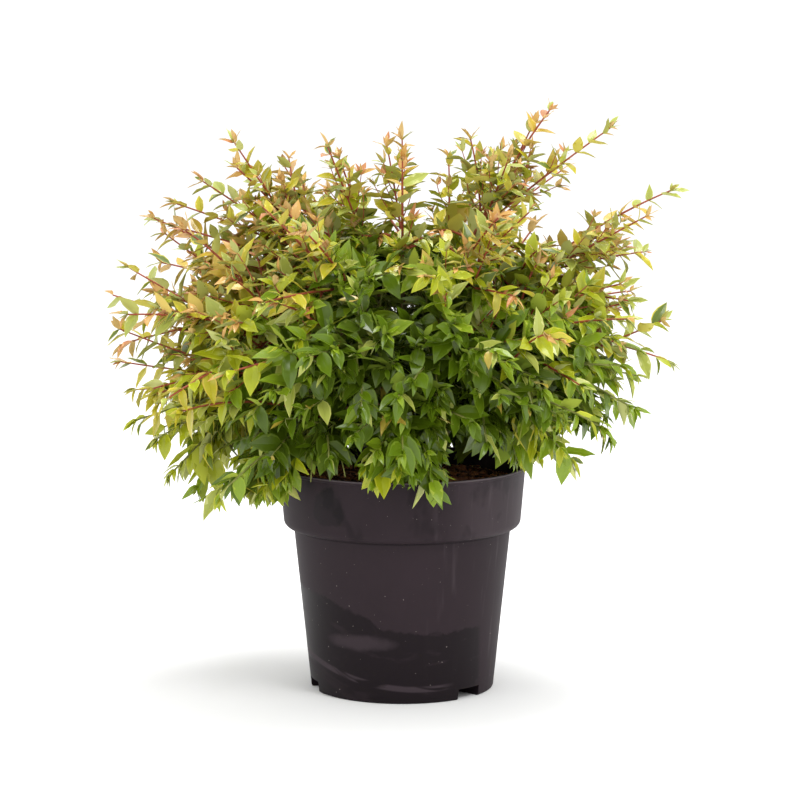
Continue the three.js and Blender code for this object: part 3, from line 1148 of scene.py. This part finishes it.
def make_chips(soil):
    """Bark chips, crumbs of peat and pale bits: small six-sided slabs, each turned and skewed its own way."""
    draw = random.Random(CHIPS.seed)
    corners = np.array([(x, y, z) for x in (-1, 1) for y in (-1, 1) for z in (-1, 1)], dtype=float)
    sides = np.array([(0, 1, 3, 2), (4, 6, 7, 5), (0, 4, 5, 1), (2, 3, 7, 6), (0, 2, 6, 4), (1, 5, 7, 3)])
    points, faces, slots = [], [], []
    for i in range(soil.chips + soil.pale_chips):
        pale = i >= soil.chips
        inner = CHIPS.pale_inner if pale else CHIPS.inner
        radius = min(CHIPS.spread * math.sqrt(mixed(inner, 1.0, draw.random())), CHIPS.farthest)
        turn = draw.uniform(0, math.tau)
        x, y = radius * math.cos(turn), radius * math.sin(turn)
        size = np.array([draw.uniform(*ends) for ends in CHIPS.half_sizes])
        if pale:
            size = size * CHIPS.pale_size
        skew = np.array([[draw.uniform(-1, 1) for _ in range(3)] for _ in corners])
        shape = corners * size * (1 + CHIPS.skew * skew)
        flat = turned(draw.uniform(0, math.tau), 0, 1)
        lean = turned(draw.uniform(-CHIPS.tilt, CHIPS.tilt), 1, 2)
        place = np.array([x, y, soil_height(soil, x, y) + CHIPS.raised])
        points.append(shape @ (flat @ lean).T + place)
        faces.append(sides + len(corners) * i)
        slots.append(np.full(len(sides), 2 if pale else draw.choice((0, 0, 1))))
    materials = [chip_finish(name, dark, light) for name, (dark, light) in LITTER.items()]
    piece = mesh_piece("soil_chips", np.concatenate(points), [np.concatenate(faces)], slots, materials)
    piece.data.polygons.foreach_set("use_smooth", np.zeros(len(piece.data.polygons), dtype=bool))
    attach(piece, "root")


# The stem and its boughs


class Mass:
    """One mass of foliage: the way it faces, how far it reaches, and the bough that leads to it."""

    def __init__(self, tier, number, turn, towards, reach):
        self.tier = tier
        self.number = number
        self.turn = turn
        self.towards = towards
        self.reach = reach
        self.lift = TIERS[tier].lift
        self.curve = None

    def apart(self, other):
        """How far apart two masses stand round the plant, in degrees."""
        return abs((other.turn - self.turn + 540) % 360 - 180)


def stem_curve():
    return Curve(
        Vector((0, 0, STEM.foot)),
        Vector((0, 0, STEM.foot + STEM.height / 2)),
        Vector((STEM.lean, -STEM.lean, STEM.foot + STEM.height)),
    )


def bough_curve(start, away, towards):
    end = CROWN.centre + towards * CROWN.hollow
    span = (end - start).length
    return Curve(
        start,
        start + away * span * BOUGH.start_pull,
        end - towards * span * BOUGH.end_pull,
        end,
    )


def laid_out():
    """Every mass, with its bough's curve, in the source's order."""
    masses = []
    for tier, values in TIERS.items():
        for i, (rise, reach) in enumerate(zip(values.rise, values.reach)):
            turn = values.first_turn + 360 / len(values.rise) * i
            masses.append(Mass(tier, i + 1, turn, direction(turn, rise), reach))
    stem = stem_curve()
    middle = [mass for mass in masses if mass.tier == "middle"]
    for mass in masses:
        if mass.tier in ("middle", "top"):
            size = BOUGHS[mass.tier]
            start = stem.at(size.starts[mass.number % len(size.starts)])
            start = start + direction(mass.turn, 0) * BOUGH.root_ring
            mass.curve = bough_curve(start, direction(mass.turn, size.rise), mass.towards)
    for mass in masses:
        if mass.curve is None:
            near = middle[mass.number - 1] if mass.tier == "skirt" else min(middle, key=mass.apart)
            fork = BOUGHS[mass.tier].starts[0]
            away = near.curve.tangent(fork) * BOUGH.follow + mass.towards
            mass.curve = bough_curve(near.curve.at(fork), away.normalized(), mass.towards)
    return masses


MASSES = laid_out()


def bark_ridges(place, turn, amount):
    """Relief of bark, as a share of the limb's radius."""
    along = Vector((
        math.cos(turn) * BARK.around,
        math.sin(turn) * BARK.around,
        place.z * BARK.along + place.x * BARK.askew,
    ))
    finer = BARK.finer_share * noise.noise(along * BARK.finer)
    grain = BARK.grain_share * noise.noise(place * BARK.grain)
    return amount * (noise.noise(along) + finer + grain)


def make_limbs(colours):
    """The stem with its root flare, and the boughs, with the relief of their bark."""
    bark = bark_finish(colours)

    def stem_radius(share, turn, place):
        flare = max(0, 1 - share * STEM.height / STEM.flare_height) ** 2
        lobe = 1 + STEM.lobe_depth * flare * math.cos(STEM.lobes * turn)
        plain = mixed(STEM.neck, STEM.top, share) + (STEM.flare - STEM.neck) * flare
        return plain * lobe * (1 + bark_ridges(place, turn, STEM.relief))

    stem = Tubes()
    stem.add(stem_curve(), stem_radius, STEM.sides, STEM.steps)
    stem_piece = stem.piece("stem_bark", bark)
    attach(stem_piece, "root")
    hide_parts("stem")

    boughs = Tubes()
    for mass in MASSES:
        size = BOUGHS[mass.tier]

        def bough_radius(share, turn, place, size=size):
            return mixed(size.base, size.tip, share) * (1 + bark_ridges(place, turn, BOUGH.relief))

        boughs.add(mass.curve, bough_radius, BOUGH.sides, BOUGH.steps)
    piece = boughs.piece("boughs_bark", bark)
    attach(piece, "root")
    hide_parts(*[f"bough_{mass.tier}_{mass.number}" for mass in MASSES])


# Foliage


def leaf_template(width_share, curl, fold, twist, wave):
    """One leaf of unit length along X: its points, with X along it, Y across it and Z out of its face."""
    half = width_share / 2
    rows, middles = [], []
    for share, width in LEAF_ROWS:
        drop = -curl * share ** LEAF.bend
        turn = twist * share
        for column in LEAF_COLUMNS:
            across = column * width * half * (1 - LEAF.tuck * fold)
            ripple = wave * math.sin(share * LEAF.waves + math.copysign(1, column))
            lift = (fold + ripple) * abs(column) * width * half
            rows.append((
                share,
                across * math.cos(turn) - lift * math.sin(turn),
                drop + across * math.sin(turn) + lift * math.cos(turn),
            ))
        middles.append((share, 0, drop - LEAF.thickness))
    root = (-LEAF.sunk, 0, 0)
    tip = (1.0, 0, -curl)
    return np.array([root, *rows, tip, *middles])


def leaf_shapes(width_share):
    """The shapes that leaves are drawn from, from nearly flat to curled and folded."""
    draw = random.Random(LEAF.seed)
    bends = (LEAF.curl, LEAF.fold, LEAF.twist, LEAF.wave)
    shapes = []
    for _ in range(LEAF.shapes):
        shapes.append(leaf_template(width_share, *[draw.uniform(*ends) for ends in bends]))
    return np.array(shapes)


def leaf_faces():
    """A leaf's faces of four and of three corners, their slots, and the points that share a sharp line."""
    rows, columns = len(LEAF_ROWS), len(LEAF_COLUMNS)
    end, last = rows - 1, columns - 1
    tip = 1 + rows * columns
    count = tip + 1 + rows

    def top(row, column):
        return 1 + row * columns + column

    def under(row):
        return tip + 1 + row

    def side_of(column):
        return MARGIN if column in (0, last - 1) else BLADE

    quads, quad_slots, triangles, triangle_slots = [], [], [], []
    for row in range(end):
        after = row + 1
        for column in range(last):
            beside = column + 1
            quads.append((top(row, column), top(after, column), top(after, beside), top(row, beside)))
            quad_slots.append(side_of(column))
        quads.append((top(row, 0), under(row), under(after), top(after, 0)))
        quads.append((under(row), top(row, last), top(after, last), under(after)))
        quad_slots += [UNDERSIDE] * 2
    for column in range(last):
        triangles.append((0, top(0, column), top(0, column + 1)))
        triangles.append((tip, top(end, column + 1), top(end, column)))
        triangle_slots += [side_of(column)] * 2
    triangles += [(0, under(0), top(0, 0)), (0, top(0, last), under(0))]
    triangles += [(tip, top(end, 0), under(end)), (tip, under(end), top(end, last))]
    triangle_slots += [UNDERSIDE] * 4
    sharp = np.zeros((count, count), dtype=bool)
    for column in (0, last // 2, last):
        line = [0, *[top(row, column) for row in range(rows)], tip]
        for a, b in zip(line, line[1:]):
            sharp[a, b] = sharp[b, a] = True
    return count, (np.array(quads), np.array(triangles)), (quad_slots, triangle_slots), sharp


class Leaves:
    """Every leaf by its kind: where it is rooted, how it lies, and its size and shape."""

    def __init__(self, shapes):
        self.shapes = shapes
        self.kinds = {kind: [] for kind in LEAF_COLOURS}

    def add(self, kind, root, along, face, length, width, shape):
        across = face.cross(along).normalized()
        lift = along.cross(across)
        self.kinds[kind].append((*root, *along, *across, *lift, length, width, shape))

    def pieces(self, colours):
        """One mesh for each kind, every leaf a closed blade."""
        count, leaf, leaf_slots, sharp = leaf_faces()
        made = {}
        for kind, rows in self.kinds.items():
            if not rows:
                continue
            values = np.array(rows)
            shapes = self.shapes[values[:, 14].astype(int)]
            length = values[:, 12, None, None]
            width = values[:, 13, None]
            points = values[:, None, 0:3] + length * (
                shapes[:, :, 0, None] * values[:, None, 3:6]
                + (shapes[:, :, 1] * width)[:, :, None] * values[:, None, 6:9]
                + shapes[:, :, 2, None] * values[:, None, 9:12]
            )
            offsets = (np.arange(len(rows)) * count)[:, None, None]
            faces = [(some[None] + offsets).reshape(-1, some.shape[1]) for some in leaf]
            slots = [np.tile(some, len(rows)) for some in leaf_slots]
            materials = [
                plain_finish(f"{kind} {side}", colours[f"{kind}_{side}"], roughness, specular)
                for side, (roughness, specular) in LEAF_GLOSS.items()
            ]
            points = points.reshape(-1, 3)
            made[kind] = mesh_piece(f"leaves_{kind}", points, faces, slots, materials, sharp, count)
        return made


def bulk_reach(out):
    """How far the dense part of the crown reaches along a unit vector."""
    flat = 1 - CROWN.bulk_flat * out.y ** 2
    high = CROWN.bulk_drop * max(0, out.z) ** 2
    low = CROWN.bulk_low * max(0, -out.z) * (0.5 + 0.5 * out.x)
    return CROWN.bulk * flat + CROWN.bulk_left * max(0, -out.x) - high - low


class Spray:
    """The growth of one mass: twigs, sprigs on them and leaves on all, in opposite pairs."""

    def __init__(self, mass, seed, sizes, leaves, twigs):
        self.mass = mass
        self.draw = random.Random(seed)
        self.sizes = sizes
        self.leaves = leaves
        self.twigs = twigs
        self.fullness = 1.0
        self.hang = 0

    def above(self, point):
        """Whether a point is above the pot's rim and the crown's lower edge, and hardly past the CAD box."""
        if math.hypot(point.x, point.y) < POT_HIGH.x / MM + CROWN.rim_reach:
            in_front = point.y < 0
            margin = CROWN.rim_margin if in_front and point.x < CROWN.rim_margin_to else CROWN.back_margin
            opening = in_front and CROWN.opening_from < point.x < CROWN.opening_to
            floor = POT_HIGH.z / MM + margin + (CROWN.opening if opening else 0)
        else:
            out = point - CROWN.centre
            right_of_gap = ramp(point.x - CROWN.raised_from, CROWN.raised_over)
            forward = max(0, -out.y, CROWN.raised_right * out.x)
            floor = CROWN.lowest + right_of_gap * forward / out.length * CROWN.raised
        return point.z > floor - self.hang and all(
            low / MM - CROWN.past_box < value < high / MM + CROWN.past_box
            for low, value, high in zip(CAD_BOX[0], point, CAD_BOX[1])
        )

    def fits(self, point, slack=0.0):
        """Whether a point is inside the mass's space, which may overlap its neighbours' a little."""
        out = point - CROWN.centre
        far = out.length
        mass = self.mass
        aside = min(1, math.degrees(out.angle(mass.towards, 0)) / CROWN.taper_angle)
        limit = max(mass.reach * (1 - CROWN.taper * aside), self.fullness * bulk_reach(out / far))
        if far > limit + slack:
            return False
        own = out.dot(mass.towards)
        return self.above(point) and all(
            other is mass or own - out.dot(other.towards) > -CROWN.overlap for other in MASSES
        )

    def tone(self, point):
        """How sunlit a place in the crown is, from 0 low inside it to 1 on its outer top; it picks darker leaf
        colours inside and lighter ones outside, partly as the plant colours its leaves and partly as painted
        shade and light.
        """
        rise = (point.z - TONE.middle) / TONE.span
        high = rise * (TONE.rising if rise > 0 else TONE.falling)
        outer = TONE.outer * ((point - CROWN.centre).length - TONE.outer_from) / TONE.outer_over
        right = TONE.right * ramp(point.x - TONE.right_from, TONE.right_over)
        left = TONE.left * ramp(-point.x - TONE.left_from, TONE.left_over)
        # Painted light low in the crown's middle and painted shade above it, across its centre
        central = max(0, 1 - abs(point.x - TONE.heart_across) / TONE.heart_over)
        heart_painted_tone = central * sum(amount for foot, head, amount in TONE.heart_painted_bands if foot < point.z < head)
        low_left = TONE.low_left * ramp(-point.x - TONE.low_left_from, TONE.low_left_over)
        low_left = low_left * ramp(TONE.low_left_below - point.z, TONE.low_left_deep)
        return high + outer + right + left + low_left + heart_painted_tone + self.draw.uniform(-TONE.spread, TONE.spread)

    def kind_at(self, tone, share, place):
        """The kind of leaf for a tone, a share of the way up its twig, and the place of its root."""
        chance = self.draw.random()
        if chance < KIND.faded:
            return "faded"
        right = ramp(place.x - KIND.right_from, KIND.right_over)
        if chance < KIND.sage + KIND.sage_lit * ramp(tone, 1) + KIND.sage_right * right:
            return "sage"
        if tone > KIND.edged_tone and chance > KIND.edged:
            return "edged"
        level = tone + KIND.tip_tone * share ** 2 + self.draw.uniform(-KIND.tone_spread, KIND.tone_spread)
        in_tuft = share == 1.0 and level > KIND.young_tuft
        near_tip = share > KIND.young_share and level > KIND.young_tone
        if (in_tuft or near_tip) and place.z > KIND.young_above:
            return "bronze" if chance < KIND.bronze else "rust"
        level = min(level, (place.z - KIND.ripe_from) / KIND.ripening)
        for limit, kind in LEAF_STEPS:
            if level < limit:
                return kind
        return "gold"

    def leaf(self, root, along, length, tone, share):
        """One leaf, hanging a little and facing up and outwards."""
        draw = self.draw
        droop = mixed(LEAF.droop_low, LEAF.droop_high, ramp(root.z - LEAF.droop_from, LEAF.droop_over))
        along = (along - UP * droop * draw.random()).normalized()
        tip = root + along * length
        out = tip - CROWN.centre
        depth = out.length
        if not self.above(tip) or depth > self.mass.reach + LEAF.overhang:
            return
        hidden = 1 - depth / (LEAF.full_beyond * bulk_reach(out / depth))
        if depth < CROWN.hollow * LEAF.bare or draw.random() < hidden * LEAF.thinning:
            return
        face = UP * LEAF.face_up + self.mass.towards * LEAF.face_out
        face += Vector((draw.gauss(0, 1), draw.gauss(0, 1), draw.gauss(0, LEAF.roll_up))) * LEAF.roll
        face = face - along * face.dot(along)
        if face.length < 0.05:
            face = sideways(along, 0)
        face.normalize()
        kind = self.kind_at(tone, share, root)
        width = draw.uniform(*LEAF.widths) * (LEAF.tuft_width if share == 1.0 else 1.0)
        self.leaves.add(kind, root, along, face, length, width, draw.randrange(len(self.leaves.shapes)))

    def leaf_pairs(self, curve, internode, start, turn, length, tone):
        """Pairs of leaves up a twig, a quarter turn from one pair to the next, and a tuft at its tip."""
        draw = self.draw
        pairs = max(1, round(curve.length * (1 - start) / internode))
        for i in range(pairs):
            share = start + (1 - start) * (i + LEAF.first) / pairs
            root, tangent = curve.at(share), curve.tangent(share)
            high = ramp(root.z - LEAF.shrink_from, LEAF.shrink_over)
            size = length * (1 - LEAF.tip_shrink * share ** LEAF.shrink_power)
            size = size * (1 - LEAF.high_shrink * high)
            for half in PAIR:
                side = sideways(tangent, turn + QUARTER * i + half + draw.uniform(-LEAF.turn, LEAF.turn))
                spread = LEAF.spread * (1 - LEAF.close_up * share)
                along = leaning(tangent, side, spread * draw.uniform(*LEAF.spreads))
                grown = size * (1 + LEAF.size_spread * (draw.random() - 0.5))
                self.leaf(root, along, grown, tone, share)
        end, tangent = curve.at(1), curve.tangent(1)
        for i in range(TUFT.leaves):
            side = sideways(tangent, turn + QUARTER * i + draw.uniform(0, TUFT.turn))
            along = leaning(tangent, side, draw.uniform(*TUFT.lean))
            self.leaf(end, along, length * draw.uniform(*TUFT.size), tone, 1.0)

    def twig(self, curve, base, tip, tone):
        """The wood of a twig, red where it is high and sunlit."""
        colour = "red" if tone > GROWTH.red_tone and curve.at(1).z > GROWTH.red_above else "green"
        steps = max(GROWTH.twig_steps, round(curve.length / GROWTH.twig_step))

        def radius_at(share, turn, place):
            return mixed(base, tip, share)

        self.twigs[colour].add(curve, radius_at, GROWTH.twig_sides, steps)

    def bent(self, root, along, length):
        """A twig's curve, from its root along a direction, lifting or sagging towards its tip."""
        draw = self.draw
        stray = Vector((draw.gauss(0, 1), draw.gauss(0, 1), draw.gauss(0, 1))) * GROWTH.stray
        ahead = along * GROWTH.ahead + self.mass.towards * GROWTH.outwards + UP * self.mass.lift + stray
        return Curve(root, root + along * length * 0.5, root + ahead * length)

    def side_twig(self, parent, share, turn, size):
        """A side twig as long as its space allows, with sprigs and leaves."""
        root, tangent = parent.at(share), parent.tangent(share)
        spread = GROWTH.twig_spread * self.draw.uniform(*GROWTH.twig_spreads)
        along = leaning(tangent, sideways(tangent, turn), spread)
        length = size
        while length >= GROWTH.shortest_twig:
            curve = self.bent(root, along, length)
            if self.fits(curve.at(1)) and self.fits(curve.at(GROWTH.twig_check_at)):
                break
            length *= GROWTH.shrink
        else:
            return
        tone = self.tone(curve.at(GROWTH.twig_tone_at))
        sizes = self.sizes
        self.twig(curve, GROWTH.twig_base, GROWTH.twig_tip, tone)
        self.leaf_pairs(curve, sizes.twig_internode, GROWTH.twig_leaves_from, turn, sizes.leaf_length, tone)
        self.sprigs(curve, turn, tone)

    def sprigs(self, curve, turn, tone):
        """Short sprigs in the axils of a twig, from near its foot to three quarters of the way up."""
        count = int(curve.length * SPRIG.within / SPRIG.spacing)
        for i in range(count):
            share = SPRIG.first + SPRIG.within * i / count
            root, tangent = curve.at(share), curve.tangent(share)
            length = curve.length * SPRIG.share * (1 - share) * self.draw.uniform(*SPRIG.lengths)
            if length < SPRIG.shortest:
                continue
            for half in PAIR:
                side = sideways(tangent, turn + QUARTER * (i + 1) + half)
                sprig = self.bent(root, leaning(tangent, side, SPRIG.lean), length)
                if not self.fits(sprig.at(1), SPRIG.slack):
                    continue
                self.twig(sprig, SPRIG.base, SPRIG.tip, tone)
                size = self.sizes.leaf_length * SPRIG.leaf_size
                self.leaf_pairs(sprig, SPRIG.internode, SPRIG.leaves_from, turn, size, tone)

    def shoot(self, curve):
        """A main shoot with side twigs in opposite pairs, and leaves on its outer part."""
        draw, sizes = self.draw, self.sizes
        self.fullness = draw.uniform(*GROWTH.fullness)
        tone = self.tone(curve.at(GROWTH.shoot_tone_at)) + GROWTH.shoot_tone
        self.twig(curve, GROWTH.shoot_base, GROWTH.shoot_tip, tone)
        nodes = max(1, round(curve.length * GROWTH.twigs_to / sizes.twig_spacing))
        for i in range(nodes):
            share = GROWTH.twigs_to * i / nodes
            size = sizes.twig_length * (1 - GROWTH.twig_taper * share) * draw.uniform(*GROWTH.twig_lengths)
            turn = QUARTER * i + draw.random()
            for half in PAIR:
                self.side_twig(curve, share, turn + half, size)
        start, turn = GROWTH.shoot_leaves_from, draw.random()
        self.leaf_pairs(curve, sizes.shoot_internode, start, turn, sizes.leaf_length, tone)

    def wand(self, main, turn):
        """A second shoot from near the foot of the main one, leaning away from it."""
        mass, draw = self.mass, self.draw
        side = sideways(mass.towards, turn)
        out = leaning(mass.towards, side, GROWTH.wand_angle * draw.uniform(*GROWTH.wand_angles))
        length = min(mass.reach * GROWTH.wand_most, bulk_reach(out) * draw.uniform(*GROWTH.wand_reach))
        start = main.at(draw.uniform(*GROWTH.wand_root))
        end = CROWN.centre + out * length
        if not self.above(end - UP * GROWTH.wand_clear):
            return
        bow = UP * (end - start).length * GROWTH.shoot_bow
        middle = start.lerp(end, GROWTH.wand_middle) + side * GROWTH.wand_aside + bow
        self.shoot(Curve(start, middle, end))

    def grow(self):
        """The mass's own shoot, the wands beside it, and twigs on the outer half of its bough."""
        mass = self.mass
        start = CROWN.centre + mass.towards * CROWN.hollow
        end = CROWN.centre + mass.towards * (mass.reach - self.sizes.leaf_length * GROWTH.main_short)
        middle = start.lerp(end, 0.5) + UP * (end - start).length * GROWTH.shoot_bow
        main = Curve(start, middle, end)
        self.shoot(main)
        wands = TIERS[mass.tier].wands
        for i in range(wands):
            self.wand(main, math.tau * (i + 0.5 * self.draw.random()) / wands)
        for i in range(GROWTH.limb_twigs):
            share = GROWTH.limb_twigs_from + GROWTH.limb_twig_step * i
            for half in PAIR:
                self.side_twig(mass.curve, share, QUARTER * i + half, GROWTH.limb_twig_length)


def grow_leader(tip, seed, sizes, leaves, twigs):
    """A long shoot to a given tip, from inside the mass that it stands nearest to."""
    out = (tip - CROWN.centre).normalized()
    near = max(MASSES, key=lambda other: out.dot(other.towards))
    start = CROWN.centre + near.towards * near.reach * LEADER.root
    curve = Curve(start, start.lerp(tip, 0.5) + near.towards * LEADER.bow, tip)
    reach = (tip - CROWN.centre).length + LEADER.past_tip
    own = Mass(near.tier, near.number, near.turn, out, reach)
    spray = Spray(own, seed, sizes, leaves, twigs)
    spray.hang = LEADER.hang
    low = tip.z < LEADER.low
    tone = min(spray.tone(tip) + (LEADER.low_tone if low else 0), LEADER.tone)
    size = sizes.leaf_length * (LEADER.low_size if low else 1.0)
    internode = sizes.shoot_internode * (LEADER.low_internode if low else 1.0)
    spray.twig(curve, LEADER.base, LEADER.tip, tone)
    turn = spray.draw.random()
    spray.leaf_pairs(curve, internode, LEADER.leaves_from, turn, size * LEADER.leaf_size, tone)
    sprig_size = size * LEADER.sprig_leaf_size
    for i in range(LEADER.sprigs):
        share = LEADER.sprigs_from + LEADER.sprig_step * i
        root, tangent = curve.at(share), curve.tangent(share)
        length = mixed(*LEADER.sprig_lengths, share)
        for half in PAIR:
            side = sideways(tangent, QUARTER * i + half)
            sprig = spray.bent(root, leaning(tangent, side, LEADER.sprig_lean), length)
            spray.twig(sprig, SPRIG.base, SPRIG.tip, tone)
            spray.leaf_pairs(sprig, LEADER.sprig_internode, SPRIG.leaves_from, half, sprig_size, tone)


def make_foliage(sizes, colours, leaf_colours):
    """Every mass's twigs and leaves, joined by kind."""
    leaves = Leaves(leaf_shapes(sizes.leaf_width))
    twigs = {"red": Tubes(), "green": Tubes()}
    for number, mass in enumerate(MASSES):
        Spray(mass, GROWTH.seed + number, sizes, leaves, twigs).grow()
    for number, tip in enumerate(LEADER_TIPS):
        grow_leader(Vector(tip), LEADER.seed + number, sizes, leaves, twigs)

    for name, tiers in (("red", ("upper", "top")), ("green", ("skirt", "middle"))):
        piece = twigs[name].piece(f"twigs_{name}", twig_finish(f"{name} twig", colours[f"{name}_twig"]))
        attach(piece, "root")
        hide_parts(*[f"foliage_{mass.tier}_{mass.number}" for mass in MASSES if mass.tier in tiers])
    for kind, piece in leaves.pieces(leaf_colours).items():
        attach(piece, "root")


# The studio


def area_light(name, place, size, power):
    """A round light that faces the plant."""
    data = bpy.data.lights.new(name, "AREA")
    data.shape = "DISK"
    data.size = size
    data.energy = power
    light = bpy.data.objects.new(name, data)
    light.location = place
    light.rotation_euler = (Vector(LIGHT_TARGET) - Vector(place)).to_track_quat("-Z", "Y").to_euler()
    bpy.context.scene.collection.objects.link(light)


def make_stage():
    """A camera at the photographed angle, a white floor and soft light from the front right."""
    scene = bpy.context.scene
    camera_data = bpy.data.cameras.new("camera")
    camera_data.lens = VIEW.focal
    camera_data.sensor_width = VIEW.sensor
    camera_data.clip_end = VIEW.farthest
    camera = bpy.data.objects.new("camera", camera_data)
    camera.location = (VIEW.aside, -VIEW.distance, VIEW.height)
    camera.rotation_euler = (math.radians(90 - VIEW.pitch), 0, 0)
    scene.collection.objects.link(camera)
    scene.camera = camera

    deselect()
    bpy.ops.mesh.primitive_plane_add(size=FLOOR_SIZE)
    floor = new_piece("studio_floor")
    floor.data.materials.append(plain_finish("studio floor", linear(TINTS["studio_floor"]), 0.9, 0.1))

    world = bpy.data.worlds.new("studio")
    world.use_nodes = True
    background = world.node_tree.nodes["Background"]
    background.inputs["Color"].default_value = (1, 1, 1, 1)
    background.inputs["Strength"].default_value = SKY_STRENGTH
    scene.world = world
    for name, (place, size, power) in LIGHTS.items():
        area_light(name, place, size, power)
    scene.view_settings.view_transform = "Standard"


# The add-on


class AbeliaPot(bpy.types.PropertyGroup):
    """Sizes of the pot"""

    height: length_setting("Height", "From the floor to the top of the rim", POT_HIGH.z / MM)
    lip: length_setting("Rim radius", "Radius of the pot at its lip", POT_HIGH.x / MM)
    base: length_setting("Foot radius", "Radius of the pot at its foot", 84.5)
    band_depth: length_setting("Band depth", "Height of the wide band below the rim", 57.0)
    wall: length_setting("Wall", "Thickness of the wall", 1.8)
    floor: length_setting("Floor", "Thickness of the floor", 2.4)
    channel_width: length_setting("Channel width", "Width of the channels under the floor", 27.0)
    channel_height: length_setting("Channel height", "Height of the channels under the floor", 10.0)
    drain_radius: length_setting("Drain radius", "Radius of the hole over each channel", 4.5)


class AbeliaSoil(bpy.types.PropertyGroup):
    """Sizes of the soil and what lies on it"""

    level: length_setting("Level", "Height of the soil round the stem", 194.0)
    lumps: length_setting("Lumps", "Height of the lumps in the soil's surface", 3.2)
    chips: bpy.props.IntProperty(name="Chips", description="Number of bark chips", default=900, min=0)
    pale_chips: bpy.props.IntProperty(name="Pale bits", description="Number of pale bits", default=70, min=0)


class AbeliaCrown(bpy.types.PropertyGroup):
    """Sizes of the leaves and how close they grow"""

    leaf_length: length_setting("Leaf length", "Length of a full-grown leaf", 33.5)
    leaf_width: bpy.props.FloatProperty(
        name="Leaf width",
        description="Width of a leaf as a share of its length",
        default=0.5,
        min=0.1,
        max=1.0,
        subtype="FACTOR",
    )
    twig_length: length_setting("Twig length", "Length of the longest side twigs", 78.0)
    twig_spacing: length_setting("Twig spacing", "From one pair of side twigs to the next", 30.0)
    twig_internode: length_setting("Leaf spacing", "From one pair of leaves on a side twig to the next", 15.5)
    shoot_internode: length_setting("Shoot leaf spacing", "Spacing of the leaves on long shoots", 16.0)


class AbeliaColours(bpy.types.PropertyGroup):
    """Colours of the pot, the soil and the wood"""

    __annotations__ = {
        key: colour_setting(name, f"{name}: its colour", value)
        for key, (name, value) in COLOURS.items()
    }


class AbeliaLeafColours(bpy.types.PropertyGroup):
    """Colours of each kind of leaf on its blade, its margin and its underside"""

    __annotations__ = {
        f"{kind}_{side}": colour_setting(
            f"{kind} {side}",
            f"Colour of the {side} of the leaves called {kind}",
            value,
        )
        for kind, values in LEAF_COLOURS.items()
        for side, value in zip(LEAF_GLOSS, values)
    }


class ABELIA_OT_pot(bpy.types.Operator):
    """Moulds the pot"""

    bl_idname = "abelia.pot"
    bl_label = "Pot"

    def execute(self, context):
        make_pot(piece_sizes("abelia_pot", POT), settings("abelia_colours"))
        return {"FINISHED"}


class ABELIA_OT_soil(bpy.types.Operator):
    """Fills the pot with peat"""

    bl_idname = "abelia.soil"
    bl_label = "Soil"

    def execute(self, context):
        make_soil(piece_sizes("abelia_soil", SOIL), settings("abelia_colours"))
        return {"FINISHED"}


class ABELIA_OT_chips(bpy.types.Operator):
    """Strews bark chips and pale bits over the peat"""

    bl_idname = "abelia.chips"
    bl_label = "Bark chips"

    def execute(self, context):
        make_chips(piece_sizes("abelia_soil", SOIL))
        return {"FINISHED"}


class ABELIA_OT_limbs(bpy.types.Operator):
    """Makes the stem and the boughs with their bark"""

    bl_idname = "abelia.limbs"
    bl_label = "Stem and boughs"

    def execute(self, context):
        make_limbs(settings("abelia_colours"))
        return {"FINISHED"}


class ABELIA_OT_foliage(bpy.types.Operator):
    """Grows the twigs and leaves of every mass"""

    bl_idname = "abelia.foliage"
    bl_label = "Twigs and leaves"

    def execute(self, context):
        sizes = piece_sizes("abelia_crown", SimpleNamespace())
        make_foliage(sizes, settings("abelia_colours"), settings("abelia_leaf_colours"))
        return {"FINISHED"}


class ABELIA_OT_stage(bpy.types.Operator):
    """Sets up the camera, the floor and the lights"""

    bl_idname = "abelia.stage"
    bl_label = "Studio"

    def execute(self, context):
        make_stage()
        return {"FINISHED"}


class ABELIA_PT_panel(bpy.types.Panel):
    bl_label = "Abelia"
    bl_idname = "ABELIA_PT_panel"
    bl_space_type = "VIEW_3D"
    bl_region_type = "UI"
    bl_category = "Abelia"

    def draw(self, context):
        for group_name in GROUPS:
            group = getattr(context.scene, group_name)
            box = self.layout.box()
            for name in group.__annotations__:
                box.prop(group, name)
        for operator in OPERATORS:
            self.layout.operator(operator.bl_idname)


OPERATORS = (
    ABELIA_OT_stage,
    ABELIA_OT_pot,
    ABELIA_OT_soil,
    ABELIA_OT_chips,
    ABELIA_OT_limbs,
    ABELIA_OT_foliage,
)
GROUPS = {
    "abelia_pot": AbeliaPot,
    "abelia_soil": AbeliaSoil,
    "abelia_crown": AbeliaCrown,
    "abelia_colours": AbeliaColours,
    "abelia_leaf_colours": AbeliaLeafColours,
}
CLASSES = (*GROUPS.values(), *OPERATORS, ABELIA_PT_panel)


def register():
    for cls in CLASSES:
        bpy.utils.register_class(cls)
    for name, group in GROUPS.items():
        setattr(bpy.types.Scene, name, bpy.props.PointerProperty(type=group))


def unregister():
    for name in GROUPS:
        delattr(bpy.types.Scene, name)
    for cls in reversed(CLASSES):
        bpy.utils.unregister_class(cls)


def main():
    register()
    bpy.ops.abelia.stage()
    bpy.ops.abelia.pot()
    bpy.ops.abelia.soil()
    bpy.ops.abelia.chips()
    bpy.ops.abelia.limbs()
    bpy.ops.abelia.foliage()
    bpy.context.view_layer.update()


if __name__ == "__main__":
    main()
